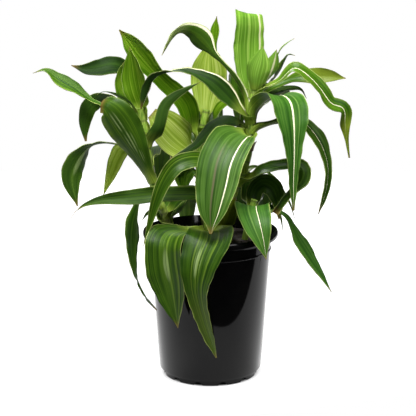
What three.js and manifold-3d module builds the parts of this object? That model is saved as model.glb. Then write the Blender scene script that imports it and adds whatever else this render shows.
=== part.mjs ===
// A basket plant with striped strap leaves in a black nursery pot.
// Millimetres, +Z up. The origin is under the middle of the pot, and -Y is its front.
import * as THREE from 'three';
import { mergeVertices } from 'three/addons/utils/BufferGeometryUtils.js';
import Module from 'manifold-3d';

const wasm = await Module();
wasm.setup();

// Pot
const POT_HEIGHT = 185;
const LIP_RADIUS = 84.5;
const LIP_DROP = 9;
const WALL_TOP_RADIUS = 75.8;
const WALL_FOOT_RADIUS = 64;
const WALL_THICKNESS = 2;
const BEAD_HEIGHT = 162;
const BEAD_RAISE = 1.2;
const FOOT_HEIGHT = 7;
const FLOOR_LIFT = 5;
const FOOT_RADIUS = 59;
const FOOT_THICKNESS = 5;
const FOOT_COUNT = 12;
const SCALLOP_RADIUS = 6;
const SCALLOP_RISE = 4.5;
const FLOOR_THICKNESS = 3;
const PAD_RADIUS = 12;
const DRAIN_COUNT = 6;
const DRAIN_RADIUS = 5;
const DRAIN_RING = 40;
const POT_SIDES = 72;
const PEG_SIDES = 16;

// Soil
const CLEARANCE = 0.3;
const SOIL_LEVEL = 171;
const SOIL_MOUND = 5;
const SOIL_LUMP = 1.4;
const SOIL_RINGS = 4;

// Stems
const STEM_SIDES = 10;
const STEM_STEPS = 12;

// Leaves
const LEAF_THICKNESS = 0.9;
const LEAF_ACROSS = 4;
const NARROW_LEAF = 11;
const LEAF_ROW_LENGTH = 17;
const LEAST_ROWS = 6;
const MOST_ROWS = 13;
const FRAME_STEPS = 60;
const CLASP_GAP = 0.8;
const SHEATH_RISE = 5;
const SHEATH_LEAN = 1.5;
const SHEATH_ANGLE = 1.25;
const CLASP_LENGTH = 0.16;
const TIP_HALF_WIDTH = 0.45;
const TIP_POWER = 1.6;
const TIP_SHARPNESS = 1.15;
const WAVE_PITCH = 46;

const radians = THREE.MathUtils.degToRad;
const smooth = THREE.MathUtils.smoothstep;
const mix = THREE.MathUtils.lerp;

function finish(color, roughness) {
  return new THREE.MeshStandardMaterial({ color, roughness, metalness: 0 });
}

const FINISHES = {
  pot: finish(0x0c0c0c, 0.25),
  soil: finish(0x1d1712, 0.95),
  stem: finish(0x5a7a2c, 0.6),
  dark: finish(0x2a4a14, 0.45),
  mid: finish(0x4a8428, 0.45),
  sheen: finish(0x3f7a48, 0.4),
  young: finish(0x8fae44, 0.5),
};

function toSolid(geometry) {
  const plain = new THREE.BufferGeometry();
  plain.setAttribute('position', geometry.getAttribute('position'));
  plain.setIndex(geometry.getIndex());
  const merged = mergeVertices(plain, 1e-4);
  const vertProperties = Float32Array.from(merged.getAttribute('position').array);
  const triVerts = Uint32Array.from(merged.getIndex().array);
  return new wasm.Manifold(new wasm.Mesh({ numProp: 3, vertProperties, triVerts }));
}

function toGeometry(solid) {
  const mesh = solid.getMesh();
  const geometry = new THREE.BufferGeometry();
  geometry.setAttribute('position', new THREE.BufferAttribute(mesh.vertProperties, 3));
  geometry.setIndex(new THREE.BufferAttribute(mesh.triVerts, 1));
  geometry.computeVertexNormals();
  return geometry;
}

// A lathe turns its profile round +Y, so the turned body is stood up on +Z.
function turned(profile) {
  const points = profile.map(([radius, height]) => new THREE.Vector2(radius, height));
  return new THREE.LatheGeometry(points, POT_SIDES).rotateX(Math.PI / 2);
}

function wallRadius(height) {
  const share = (height - FOOT_HEIGHT) / (POT_HEIGHT - LIP_DROP - FOOT_HEIGHT);
  return mix(WALL_FOOT_RADIUS, WALL_TOP_RADIUS, share);
}

function potProfile() {
  const floor = FLOOR_LIFT + FLOOR_THICKNESS;
  const lipFoot = POT_HEIGHT - LIP_DROP;
  const inner = (height) => wallRadius(height) - WALL_THICKNESS;
  return [
    [0, 0],
    [PAD_RADIUS, 0],
    [PAD_RADIUS, FLOOR_LIFT],
    [FOOT_RADIUS - FOOT_THICKNESS, FLOOR_LIFT],
    [FOOT_RADIUS - FOOT_THICKNESS, 0],
    [FOOT_RADIUS, 0],
    [FOOT_RADIUS + 1, FOOT_HEIGHT],
    [wallRadius(FOOT_HEIGHT) - 1, FOOT_HEIGHT + 0.4],
    [wallRadius(FOOT_HEIGHT), FOOT_HEIGHT + 2],
    [wallRadius(BEAD_HEIGHT - 2), BEAD_HEIGHT - 2],
    [wallRadius(BEAD_HEIGHT) + BEAD_RAISE, BEAD_HEIGHT - 0.8],
    [wallRadius(BEAD_HEIGHT) + BEAD_RAISE, BEAD_HEIGHT + 0.8],
    [wallRadius(BEAD_HEIGHT + 2) + 0.3, BEAD_HEIGHT + 1.6],
    [WALL_TOP_RADIUS, lipFoot - 3],
    [WALL_TOP_RADIUS + 2.4, lipFoot - 1.6],
    [WALL_TOP_RADIUS + 3, lipFoot],
    [LIP_RADIUS - 1.2, lipFoot + 0.6],
    [LIP_RADIUS, lipFoot + 3],
    [LIP_RADIUS, POT_HEIGHT - 3],
    [LIP_RADIUS - 1.2, POT_HEIGHT - 0.8],
    [LIP_RADIUS - 3, POT_HEIGHT],
    [LIP_RADIUS - 4.8, POT_HEIGHT - 0.8],
    [LIP_RADIUS - 5.8, POT_HEIGHT - 3],
    [inner(SOIL_LEVEL) + 1.2, SOIL_LEVEL + 2],
    [inner(SOIL_LEVEL), SOIL_LEVEL],
    [inner(floor + 2), floor + 2],
    [inner(floor) - 2, floor],
    [0, floor],
  ];
}

function peg(radius, length) {
  return new THREE.CylinderGeometry(radius, radius, length, PEG_SIDES);
}

function makePot() {
  let pot = toSolid(turned(potProfile()));
  for (let index = 0; index < FOOT_COUNT; index += 1) {
    const angle = ((index + 0.5) / FOOT_COUNT) * Math.PI * 2;
    const scallop = peg(SCALLOP_RADIUS, FOOT_THICKNESS * 3);
    scallop.rotateZ(angle - Math.PI / 2);
    scallop.translate(
      (FOOT_RADIUS - FOOT_THICKNESS / 2) * Math.cos(angle),
      (FOOT_RADIUS - FOOT_THICKNESS / 2) * Math.sin(angle),
      SCALLOP_RISE - SCALLOP_RADIUS,
    );
    pot = pot.subtract(toSolid(scallop));
  }
  for (let index = 0; index < DRAIN_COUNT; index += 1) {
    const angle = (index / DRAIN_COUNT) * Math.PI * 2;
    const drain = peg(DRAIN_RADIUS, FOOT_HEIGHT * 3).rotateX(Math.PI / 2);
    drain.translate(DRAIN_RING * Math.cos(angle), DRAIN_RING * Math.sin(angle), FOOT_HEIGHT);
    pot = pot.subtract(toSolid(drain));
  }
  return toGeometry(pot);
}

// Each stem is a round rod along a curve through points chosen by hand, from the soil to its tip.
const STEMS = {
  left: { radius: 5, points: [
    [-38, 2, 140], [-48, 0, 173], [-60, 0, 213], [-71, 0, 242],
    [-76, 0, 266], [-79, 0, 297], [-87, 0, 336],
  ] },
  right: { radius: 5.2, points: [
    [6, 2, 140], [14, 0, 173], [30, 0, 234], [44, 0, 270],
    [49, 0, 303], [51, 0, 340], [57, 0, 368],
  ] },
  back: { radius: 4.6, points: [
    [-2, 40, 140], [-7, 42, 180], [-14, 45, 240], [-12, 45, 292], [-5, 46, 328],
  ] },
  front: { radius: 4.4, points: [[-2, -22, 140], [-3, -28, 172], [-4, -32, 200]] },
  low_right: { radius: 4.2, points: [[34, -6, 140], [42, -10, 172], [54, -10, 224]] },
};

function curveThrough(points) {
  return new THREE.CatmullRomCurve3(points.map((point) => new THREE.Vector3(...point)));
}

function rod(points, radius) {
  const section = new THREE.Shape().absarc(0, 0, radius, 0, Math.PI * 2, false);
  return new THREE.ExtrudeGeometry(section, {
    curveSegments: STEM_SIDES / 2,
    steps: STEM_STEPS,
    extrudePath: curveThrough(points),
  });
}

// The stem's axis at a given height, found by halving, as every stem only climbs.
function stemAxisAt(stem, height) {
  const curve = curveThrough(stem.points);
  let low = 0;
  let high = 1;
  for (let turn = 0; turn < 30; turn += 1) {
    const middle = (low + high) / 2;
    if (curve.getPoint(middle).z < height) low = middle;
    else high = middle;
  }
  return { centre: curve.getPoint(low), along: curve.getTangent(low) };
}

function soilProfile() {
  const floor = FLOOR_LIFT + FLOOR_THICKNESS;
  const inner = (height) => wallRadius(height) - WALL_THICKNESS - CLEARANCE;
  const profile = [
    [0, floor + CLEARANCE],
    [inner(floor) - 2, floor + CLEARANCE],
    [inner(floor + 2) - CLEARANCE, floor + 2],
    [inner(SOIL_LEVEL), SOIL_LEVEL],
  ];
  for (let ring = 1; ring <= SOIL_RINGS; ring += 1) {
    const share = 1 - ring / SOIL_RINGS;
    profile.push([inner(SOIL_LEVEL) * share, SOIL_LEVEL + SOIL_MOUND * (1 - share * share)]);
  }
  return profile;
}

function makeSoil() {
  const geometry = turned(soilProfile());
  const place = geometry.getAttribute('position');
  for (let index = 0; index < place.count; index += 1) {
    const [x, y, z] = [place.getX(index), place.getY(index), place.getZ(index)];
    const lump = Math.sin(x * 0.31) * Math.cos(y * 0.27) + Math.sin((x + y) * 0.17);
    if (z > SOIL_LEVEL + 0.1) place.setZ(index, z + SOIL_LUMP * lump * 0.5);
  }
  let soil = toSolid(geometry);
  for (const stem of Object.values(STEMS)) {
    const hole = stem.points.map(([x, y, z], index) => [x, y, index === 0 ? z - CLEARANCE : z]);
    soil = soil.subtract(toSolid(rod(hole, stem.radius + CLEARANCE)));
  }
  return toGeometry(soil);
}

// A leaf clasps its stem at a height and faces out at an angle, then follows points chosen by hand.
// Rolls turn the blade about its midrib, in degrees, evenly spaced from base to tip.
function leafFrames(leaf) {
  const stem = STEMS[leaf.stem];
  const { centre, along } = stemAxisAt(stem, leaf.height);
  const angle = radians(leaf.faces);
  const out = new THREE.Vector3(Math.cos(angle), Math.sin(angle), 0);
  const claspRadius = stem.radius + CLASP_GAP + LEAF_THICKNESS / 2;
  const base = centre.clone().addScaledVector(out, claspRadius);
  const sheathTop = base.clone().addScaledVector(along, SHEATH_RISE).addScaledVector(out, SHEATH_LEAN);
  const blade = leaf.points.map((point) => new THREE.Vector3(...point));
  const curve = new THREE.CatmullRomCurve3([base, sheathTop, ...blade]);
  const frames = [];
  let side = new THREE.Vector3(-Math.sin(angle), Math.cos(angle), 0);
  for (let step = 0; step <= FRAME_STEPS; step += 1) {
    const share = step / FRAME_STEPS;
    const ahead = curve.getTangentAt(share);
    side = side.clone().addScaledVector(ahead, -side.dot(ahead)).normalize();
    const roll = radians(valueAlong(leaf.rolls ?? [0], share));
    const face = ahead.clone().cross(side);
    const turnedSide = side.clone().multiplyScalar(Math.cos(roll)).addScaledVector(face, Math.sin(roll));
    const turnedFace = ahead.clone().cross(turnedSide);
    frames.push({ middle: curve.getPointAt(share), side: turnedSide, face: turnedFace });
  }
  return { frames, length: curve.getLength(), claspRadius };
}

// A smooth curve through values that are evenly spaced from base to tip.
function valueAlong(values, share) {
  const last = values.length - 1;
  const place = share * last;
  const index = Math.max(0, Math.min(Math.floor(place), last - 1));
  const [before, start, end, after] = [-1, 0, 1, 2].map(
    (offset) => values[THREE.MathUtils.clamp(index + offset, 0, last)],
  );
  const t = place - index;
  const bend = t * (2 * before - 5 * start + 4 * end - after + t * (3 * (start - end) + after - before));
  return start + 0.5 * t * (end - before + bend);
}

function halfWidthAt(leaf, share, claspWidth) {
  if (leaf.outline) {
    const drawn = valueAlong(leaf.outline, share) * (leaf.width / 2);
    return Math.max(mix(claspWidth, drawn, smooth(share, 0, CLASP_LENGTH)), TIP_HALF_WIDTH);
  }
  const grown = mix(claspWidth, leaf.width / 2, smooth(share, 0, leaf.peak ?? 0.32));
  const shoulder = leaf.shoulder ?? 0.42;
  const past = Math.max(0, (share - shoulder) / (1 - shoulder));
  return Math.max(grown * (1 - past ** TIP_POWER) ** TIP_SHARPNESS, TIP_HALF_WIDTH);
}

// The blade is a thin bent sheet: both faces use one grid, split into triangles alike.
function makeLeaf(leaf) {
  const { frames, length, claspRadius } = leafFrames(leaf);
  const claspAngle = leaf.clasp ?? SHEATH_ANGLE;
  const rows = Math.round(THREE.MathUtils.clamp(length / LEAF_ROW_LENGTH, LEAST_ROWS, MOST_ROWS));
  const strips = leaf.width < NARROW_LEAF ? 2 : LEAF_ACROSS;
  const columns = strips + 1;
  const positions = [];
  const faces = [];
  for (const sheet of [0.5, -0.5]) {
    for (let row = 0; row <= rows; row += 1) {
      const share = row / rows;
      const frame = frames[Math.round(share * FRAME_STEPS)];
      const halfWidth = halfWidthAt(leaf, share, claspAngle * claspRadius);
      const bow = mix(claspAngle, leaf.channel ?? 0.45, smooth(share, 0, CLASP_LENGTH));
      const waves = (leaf.wave ?? 1.2) * smooth(share, 0.1, 0.4) * (halfWidth / leaf.width) * 2;
      for (let column = 0; column < columns; column += 1) {
        const across = (2 * column) / strips - 1;
        const turn = bow * across;
        const phase = (2 * Math.PI * share * length) / WAVE_PITCH + (across > 0 ? leaf.height : 0);
        const lateral = (halfWidth / bow) * Math.sin(turn);
        const lift = (halfWidth / bow) * (1 - Math.cos(turn)) + waves * across * across * Math.sin(phase);
        const skin = sheet * LEAF_THICKNESS;
        const point = frame.middle.clone()
          .addScaledVector(frame.side, lateral - skin * Math.sin(turn))
          .addScaledVector(frame.face, lift + skin * Math.cos(turn));
        positions.push(...point.toArray());
      }
    }
  }
  const sheetSize = (rows + 1) * columns;
  const over = (row, column) => row * columns + column;
  const under = (row, column) => over(row, column) + sheetSize;
  const quad = (a, b, c, d) => faces.push(a, b, c, a, c, d);
  for (let row = 0; row < rows; row += 1) {
    const next = row + 1;
    for (let column = 0; column < strips; column += 1) {
      const corners = [[row, column], [row, column + 1], [next, column + 1], [next, column]];
      const [a, b, c, d] = corners.map((corner) => over(...corner));
      const [e, f, g, h] = corners.map((corner) => under(...corner));
      faces.push(a, d, c, a, c, b);
      faces.push(e, g, h, e, f, g);
    }
    quad(over(row, 0), under(row, 0), under(next, 0), over(next, 0));
    quad(over(row, strips), over(next, strips), under(next, strips), under(row, strips));
  }
  for (let column = 0; column < strips; column += 1) {
    const beside = column + 1;
    quad(over(0, column), over(0, beside), under(0, beside), under(0, column));
    quad(over(rows, column), under(rows, column), under(rows, beside), over(rows, beside));
  }
  const geometry = new THREE.BufferGeometry();
  geometry.setAttribute('position', new THREE.Float32BufferAttribute(positions, 3));
  geometry.setIndex(faces);
  geometry.computeVertexNormals();
  return geometry;
}

const LEFT_LEAVES = {
  left_leaf_far_thin: { height: 296, faces: 215, width: 20, tone: 'mid',
    rolls: [0, -20, -50, -60, -70, -20], outline: [0.5, 0.3, 0.26, 0.26, 0.4, 0.8, 1, 0.6, 0.03],
    points: [[-104, -13, 324], [-128, -14, 340], [-148, -13, 350], [-167, -12, 363], [-187, -12, 375],
      [-199, -12, 383], [-214, -12, 380]] },
  left_leaf_dark_arch: { height: 298, faces: 70, width: 26, clasp: 1, tone: 'dark',
    rolls: [0, 30, 60, 75, 75, 70, 60, 40], outline: [0.4, 0.5, 0.5, 0.6, 0.8, 1, 0.95, 0.6, 0.03],
    points: [[-86, 20, 318], [-92, 40, 345], [-98, 46, 366], [-107, 46, 378], [-120, 38, 384],
      [-137, 28, 382], [-154, 18, 382], [-170, 12, 387]] },
  left_leaf_upright: { height: 331, faces: 62, width: 35, tone: 'young', channel: 0.6, peak: 0.45,
    shoulder: 0.52,
    points: [[-88, 5, 352], [-92, 5, 370], [-95, 4, 392], [-98, 3, 410]] },
  left_leaf_behind: { height: 318, faces: 100, width: 28, clasp: 1, tone: 'young',
    points: [[-94, 21, 335], [-105, 27, 351], [-111, 28, 366], [-111, 26, 379], [-106, 24, 390]] },
  left_leaf_front_broad: { height: 243, faces: -100, width: 43, tone: 'mid', rolls: [0, 6, 14, 18, 18],
    outline: [0.25, 0.4, 0.62, 0.86, 1, 0.9, 0.4],
    points: [[-79, -13, 264], [-89, -23, 288], [-104, -33, 318], [-117, -39, 338], [-124, -37, 344],
      [-131, -31, 343]] },
  left_leaf_hooked: { height: 303, faces: 184, width: 24, clasp: 1, tone: 'dark',
    rolls: [0, 0, 15, 60, 78, 75], outline: [0.4, 0.5, 0.6, 1, 0.9, 0.6, 0.1],
    points: [[-100, 3, 327], [-115, 5, 343], [-134, 4, 345], [-147, 3, 338], [-153, 2, 322],
      [-154, 1, 307], [-153, 1, 295]] },
  left_leaf_cupped: { height: 284, faces: 185, width: 31, clasp: 1, tone: 'dark',
    rolls: [0, 5, 15, 50, 75, 70], outline: [0.45, 0.4, 0.4, 0.55, 0.95, 1, 0.55, 0.05],
    points: [[-96, 4, 287], [-114, 5, 290], [-133, 5, 292], [-150, 4, 287], [-163, 1, 270],
      [-171, -1, 249], [-165, -2, 214]] },
  left_leaf_drooping: { height: 272, faces: 150, width: 24, tone: 'mid', rolls: [0, 20, 50, 60, 60],
    points: [[-94, 20, 281], [-108, 25, 281], [-117, 25, 268], [-125, 25, 248], [-135, 24, 222]] },
  left_leaf_crossing: { height: 288, faces: -40, width: 15, tone: 'dark',
    rolls: [0, -40, -60, -55, -40],
    points: [[-63, -12, 314], [-55, -13, 341], [-45, -11, 351], [-29, -5, 360], [-12, 3, 368]] },
  left_leaf_curl: { height: 331, faces: 215, width: 6, tone: 'mid', clasp: 0.4, rolls: [0],
    points: [[-98, -4, 343], [-110, -6, 351], [-121, -7, 356], [-130, -7, 357], [-138, -7, 353]] },
  left_leaf_small_loop: { height: 198, faces: 20, width: 24, tone: 'dark', rolls: [0, 25, 35],
    points: [[-42, 6, 216], [-31, 9, 227], [-17, 10, 229], [-4, 9, 219], [5, 8, 203]] },
  left_leaf_low_hanging: { height: 208, faces: 175, width: 27, tone: 'dark',
    rolls: [0, -20, -55, -70, 10, -50], outline: [0.4, 0.7, 1, 0.95, 0.6, 0.36, 0.36, 0.28, 0.05],
    points: [[-73, 4, 217], [-86, 5, 220], [-92, 4, 206], [-96, 2, 183], [-97, -4, 156],
      [-92, -14, 127], [-80, -28, 105], [-66, -42, 92]] },
  left_leaf_rim: { height: 190, faces: 150, width: 14, tone: 'mid', rolls: [0, -30, -40],
    points: [[-62, 10, 200], [-70, 13, 204], [-78, 14, 202], [-86, 14, 192]] },
  left_leaf_back_high: { height: 290, faces: 98, width: 34, tone: 'mid',
    points: [[-94, 28, 310], [-102, 56, 326], [-108, 82, 318], [-112, 100, 290], [-113, 108, 254]] },
  left_leaf_back_inner: { height: 262, faces: 95, width: 30, tone: 'mid',
    points: [[-76, 24, 272], [-75, 50, 280], [-72, 76, 271], [-70, 96, 242], [-68, 104, 206]] },
  left_leaf_back_low: { height: 187, faces: 90, width: 34, tone: 'dark',
    points: [[-50, 25, 200], [-43, 43, 213], [-35, 62, 211], [-33, 80, 199], [-32, 94, 172],
      [-32, 98, 138]] },
};

const RIGHT_LEAVES = {
  right_leaf_front_broad: { height: 296, faces: -115, width: 54, tone: 'sheen',
    rolls: [0, -10, -15, -15, -8, 0], outline: [0.22, 0.6, 0.92, 1, 1, 0.9, 0.62, 0.06],
    points: [[45, -18, 305], [36, -34, 308], [24, -56, 302], [13, -74, 284], [7, -87, 258],
      [3, -95, 232], [0, -100, 202]] },
  right_leaf_hanging_broad: { height: 328, faces: -60, width: 51, tone: 'sheen', channel: 0.3,
    rolls: [0, 10, 22, 25, 22, 20], outline: [0.34, 0.8, 1, 0.87, 0.56, 0.34, 0.22, 0.05],
    points: [[62, -13, 344], [72, -20, 352], [84, -31, 355], [92, -44, 348], [96, -52, 326],
      [98, -57, 290], [98, -59, 254], [99, -60, 221]] },
  right_leaf_far_twisted: { height: 346, faces: -25, width: 20, clasp: 1, tone: 'mid',
    rolls: [0, 30, 45, 45, 55, 60, 120, 120], outline: [0.5, 0.6, 0.85, 1, 1, 0.95, 0.85, 0.3, 0.1],
    points: [[67, -6, 361], [84, -9, 371], [101, -12, 386], [119, -14, 376], [133, -14, 361],
      [146, -14, 344], [161, -12, 337], [164, -10, 314], [170, -8, 276]] },
  right_leaf_far_level: { height: 339, faces: 12, width: 20, tone: 'young', rolls: [0, 40, 60, 78, 80],
    outline: [0.5, 0.4, 0.4, 0.5, 0.85, 1, 0.7, 0.04],
    points: [[69, 8, 355], [88, 13, 365], [107, 14, 372], [125, 14, 374], [145, 14, 374],
      [166, 14, 371]] },
  right_leaf_side_arch: { height: 303, faces: 0, width: 20, tone: 'dark',
    rolls: [0, 20, 45, 55, 62, 62, 60],
    outline: [0.6, 0.8, 0.8, 0.8, 0.9, 1, 0.75, 0.5, 0.5, 0.35, 0.04],
    points: [[68, 3, 313], [80, 7, 317], [98, 8, 321], [115, 6, 317], [128, 4, 304], [139, 2, 285],
      [145, 0, 262], [143, -1, 234], [134, -2, 204]] },
  right_leaf_top_broad: { height: 346, faces: 112, width: 42, tone: 'sheen', wave: 0.5, channel: 0.2,
    outline: [0.3, 0.5, 0.85, 1, 0.95, 0.85, 0.55],
    points: [[48, 15, 358], [46, 18, 374], [46, 19, 391], [46, 18, 412], [47, 15, 436], [46, 18, 448],
      [45, 26, 449], [45, 32, 441]] },
  right_leaf_heart: { height: 359, faces: -105, width: 32, tone: 'young', clasp: 0.8, channel: 0.9,
    peak: 0.45, shoulder: 0.55,
    points: [[55, -11, 378], [59, -12, 395], [63, -10, 412]] },
  right_leaf_heart_side: { height: 358, faces: 0, width: 24, tone: 'young', clasp: 0.6,
    rolls: [0, -50, -68], channel: 0.7, shoulder: 0.6,
    points: [[72, 1, 377], [77, 3, 391], [80, 4, 407]] },
  right_leaf_small_upper: { height: 353, faces: 44, width: 21, tone: 'mid', clasp: 0.5,
    rolls: [0, -40, -60, -60],
    points: [[76, 22, 367], [86, 27, 380], [91, 27, 391], [96, 25, 399], [104, 24, 398]] },
  right_leaf_small_curl: { height: 355, faces: 64, width: 12, tone: 'mid', clasp: 0.45,
    rolls: [0, -40, -60, -60],
    points: [[70, 26, 370], [79, 36, 386], [87, 39, 404], [96, 37, 413], [104, 37, 418]] },
  right_leaf_twisted_tall: { height: 331, faces: 170, width: 28, tone: 'dark',
    rolls: [0, 40, 60, 70, 76, 84, 88, 76, 60, 40, 30],
    outline: [0.5, 0.4, 0.3, 0.26, 0.2, 0.4, 1, 0.8, 0.4, 0.28, 0.04],
    points: [[40, 2, 356], [30, 3, 374], [14, 5, 392], [4, 6, 402], [-3, 7, 411], [-12, 6, 421],
      [-21, 5, 428], [-32, 4, 431], [-43, 4, 426], [-51, 4, 414], [-59, 4, 400]] },
  right_leaf_long_arch: { height: 316, faces: 205, width: 30, tone: 'sheen',
    rolls: [0, -40, -62, -62, -40, 10, 35, 40],
    outline: [0.5, 0.75, 1, 0.95, 0.66, 0.36, 0.36, 0.42, 0.36, 0.04],
    points: [[35, -12, 334], [26, -16, 346], [15, -20, 358], [4, -24, 369], [-7, -26, 376],
      [-29, -27, 384], [-54, -26, 382], [-70, -23, 375], [-78, -20, 360], [-84, -18, 337]] },
  right_leaf_shaded_arch: { height: 299, faces: 168, width: 32, tone: 'dark',
    rolls: [0, -40, -60, -55], outline: [0.6, 1, 1, 0.85, 0.62, 0.42, 0.3, 0.05],
    points: [[37, 8, 312], [25, 8, 316], [10, 10, 312], [-4, 11, 301], [-18, 10, 288], [-33, 9, 279],
      [-50, 8, 272]] },
  right_leaf_tucked: { height: 326, faces: 40, width: 14, tone: 'dark', clasp: 0.7, rolls: [0, 20, 20],
    points: [[66, 14, 345], [80, 19, 352], [98, 23, 357], [112, 24, 356], [119, 24, 345]] },
  right_leaf_low_left: { height: 214, faces: 215, width: 20, tone: 'mid',
    rolls: [0, -30, -60, -65, -65, -50], shoulder: 0.6,
    points: [[9, -14, 228], [-18, -25, 234], [-61, -31, 235], [-98, -35, 232], [-134, -38, 229],
      [-153, -39, 223], [-164, -40, 215]] },
  right_leaf_low_arch: { height: 258, faces: 215, width: 22, tone: 'mid',
    rolls: [0, -20, -45, -55, -60, -60],
    points: [[24, -16, 268], [-3, -31, 276], [-25, -43, 279], [-42, -51, 273], [-55, -55, 256],
      [-65, -57, 232], [-73, -58, 204], [-81, -58, 176]] },
  right_leaf_rolled_back: { height: 238, faces: -20, width: 28, tone: 'mid',
    rolls: [0, 20, 40, 50, 60, 60, 60], channel: 0.8,
    outline: [0.8, 1, 1, 0.82, 0.66, 0.78, 0.66, 0.4, 0.38, 0.36],
    points: [[52, -8, 249], [64, -12, 259], [87, -15, 266], [103, -17, 268], [112, -19, 264],
      [112, -21, 253], [104, -23, 243], [92, -25, 230], [78, -27, 211]] },
  right_leaf_short_sheath: { height: 185, faces: -90, width: 26, tone: 'young', channel: 0.9,
    shoulder: 0.5,
    points: [[20, -13, 198], [24, -17, 212], [30, -19, 228]] },
  right_leaf_thin_side: { height: 252, faces: 30, width: 8, tone: 'young', clasp: 0.6,
    rolls: [0, 30, 50],
    points: [[54, 11, 261], [66, 14, 258], [81, 14, 243], [97, 13, 220], [106, 12, 195]] },
  right_leaf_back_arch: { height: 322, faces: 75, width: 34, tone: 'mid',
    points: [[64, 34, 348], [78, 62, 356], [90, 86, 342], [98, 104, 312], [104, 112, 274]] },
  right_leaf_back_tall: { height: 311, faces: 115, width: 36, tone: 'mid',
    points: [[42, 32, 345], [40, 66, 362], [38, 98, 350], [38, 122, 316], [40, 132, 272]] },
};

const BACK_LEAVES = {
  back_leaf_pale_diagonal: { height: 288, faces: 155, clasp: 0.9, width: 31, tone: 'young',
    rolls: [0, -40, -70, -72, -70], outline: [0.5, 0.82, 0.9, 0.8, 0.74, 0.72, 0.95, 0.75, 0.05],
    points: [[-24, 51, 304], [-26, 46, 320], [-31, 40, 337], [-41, 34, 350], [-56, 31, 364],
      [-71, 29, 380], [-85, 28, 397], [-98, 28, 414], [-112, 28, 429]] },
  back_leaf_pale_upright: { height: 318, faces: 80, width: 48, tone: 'young', channel: 0.4, peak: 0.5,
    shoulder: 0.6,
    points: [[-4, 58, 336], [-2, 62, 352], [-1, 63, 374], [-1, 62, 394], [-1, 60, 413]] },
  back_leaf_tip_tall: { height: 312, faces: 60, width: 14, tone: 'young',
    outline: [0.7, 0.8, 0.8, 0.7, 0.6, 0.5, 0.4, 0.85, 0.03],
    points: [[2, 66, 330], [5, 76, 345], [6, 78, 375], [6, 77, 403], [6, 76, 423], [8, 75, 443]] },
  back_leaf_broad_pale: { height: 268, faces: 190, width: 50, clasp: 1, tone: 'young',
    rolls: [0, -40, -70, -75, -70], outline: [0.2, 0.42, 0.9, 1, 0.98, 0.9, 0.7, 0.3],
    points: [[-26, 37, 279], [-35, 28, 288], [-46, 24, 299], [-58, 25, 312], [-68, 25, 322],
      [-73, 26, 326]] },
  back_leaf_right_pale: { height: 298, faces: -40, width: 22, tone: 'young', rolls: [0, 40, 60, 60],
    points: [[4, 34, 316], [11, 32, 330], [20, 31, 338], [31, 30, 338], [43, 30, 336]] },
  back_leaf_low_hidden: { height: 242, faces: 215, width: 32, tone: 'mid', rolls: [0, -30, -50],
    points: [[-22, 35, 257], [-29, 31, 256], [-34, 29, 244], [-32, 28, 222]] },
  back_leaf_arch: { height: 277, faces: 80, width: 36, clasp: 1, tone: 'mid',
    points: [[-6, 68, 312], [-2, 94, 320], [0, 116, 302], [0, 129, 268], [-2, 135, 226]] },
  back_leaf_side: { height: 264, faces: 140, width: 30, tone: 'mid',
    points: [[-30, 68, 288], [-42, 94, 292], [-54, 114, 270], [-60, 126, 234], [-62, 130, 196]] },
  back_leaf_low: { height: 204, faces: 60, width: 40, tone: 'dark',
    points: [[2, 68, 224], [18, 90, 232], [32, 106, 214], [36, 114, 180], [36, 118, 140]] },
};

const FRONT_LEAVES = {
  front_leaf_over_rim: { height: 184, faces: -90, width: 57, tone: 'mid',
    outline: [0.3, 0.75, 1, 0.98, 0.82, 0.58, 0.42, 0.34, 0.22, 0.03], rolls: [0, 6, 8, 6, 0],
    points: [[-1, -50, 192], [0, -68, 197], [-1, -87, 192], [-8, -99, 178], [-13, -104, 162],
      [-16, -104, 137], [-8, -98, 96], [7, -90, 47]] },
  front_leaf_over_rim_left: { height: 180, faces: -150, width: 50, tone: 'mid', peak: 0.36,
    shoulder: 0.62,
    points: [[-21, -39, 188], [-38, -49, 193], [-49, -62, 192], [-54, -73, 183], [-54, -76, 162],
      [-48, -77, 129], [-39, -77, 80]] },
};

const LOW_RIGHT_LEAVES = {
  low_right_leaf_over_rim: { height: 204, faces: -90, width: 43, tone: 'sheen', peak: 0.3,
    shoulder: 0.5,
    points: [[52, -26, 217], [50, -42, 223], [50, -61, 220], [54, -76, 208], [60, -83, 190],
      [66, -85, 167]] },
  low_right_leaf_shaded: { height: 208, faces: 120, width: 26, tone: 'dark', rolls: [0, -8, -14, -20],
    outline: [0.5, 0.75, 0.85, 1, 0.85, 0.5, 0.1],
    points: [[52, 5, 222], [57, 9, 235], [67, 10, 241], [78, 10, 235], [84, 8, 218], [86, 7, 196]] },
  low_right_leaf_long: { height: 196, faces: 10, width: 18, tone: 'dark', rolls: [0, 30, 45, 55, 55],
    outline: [0.6, 0.34, 0.32, 0.55, 0.95, 1, 0.7, 0.35, 0.04],
    points: [[66, -3, 206], [80, -6, 209], [92, -7, 204], [101, -7, 190], [110, -7, 172],
      [124, -7, 150], [138, -7, 128], [152, -8, 105]] },
  low_right_leaf_grey: { height: 190, faces: 50, width: 13, tone: 'mid', clasp: 0.6,
    rolls: [0, 30, 30],
    points: [[67, 14, 203], [81, 20, 206], [88, 21, 195], [92, 21, 177]] },
  low_right_leaf_back: { height: 205, faces: 80, width: 34, tone: 'mid',
    points: [[52, 18, 219], [56, 34, 232], [62, 52, 240], [68, 72, 224], [70, 84, 190], [70, 88, 150]] },
};

const LEAVES = [
  ['left', LEFT_LEAVES],
  ['right', RIGHT_LEAVES],
  ['back', BACK_LEAVES],
  ['front', FRONT_LEAVES],
  ['low_right', LOW_RIGHT_LEAVES],
];

function piece(name, geometry, material) {
  const mesh = new THREE.Mesh(geometry, material);
  mesh.name = name;
  return mesh;
}

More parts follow.
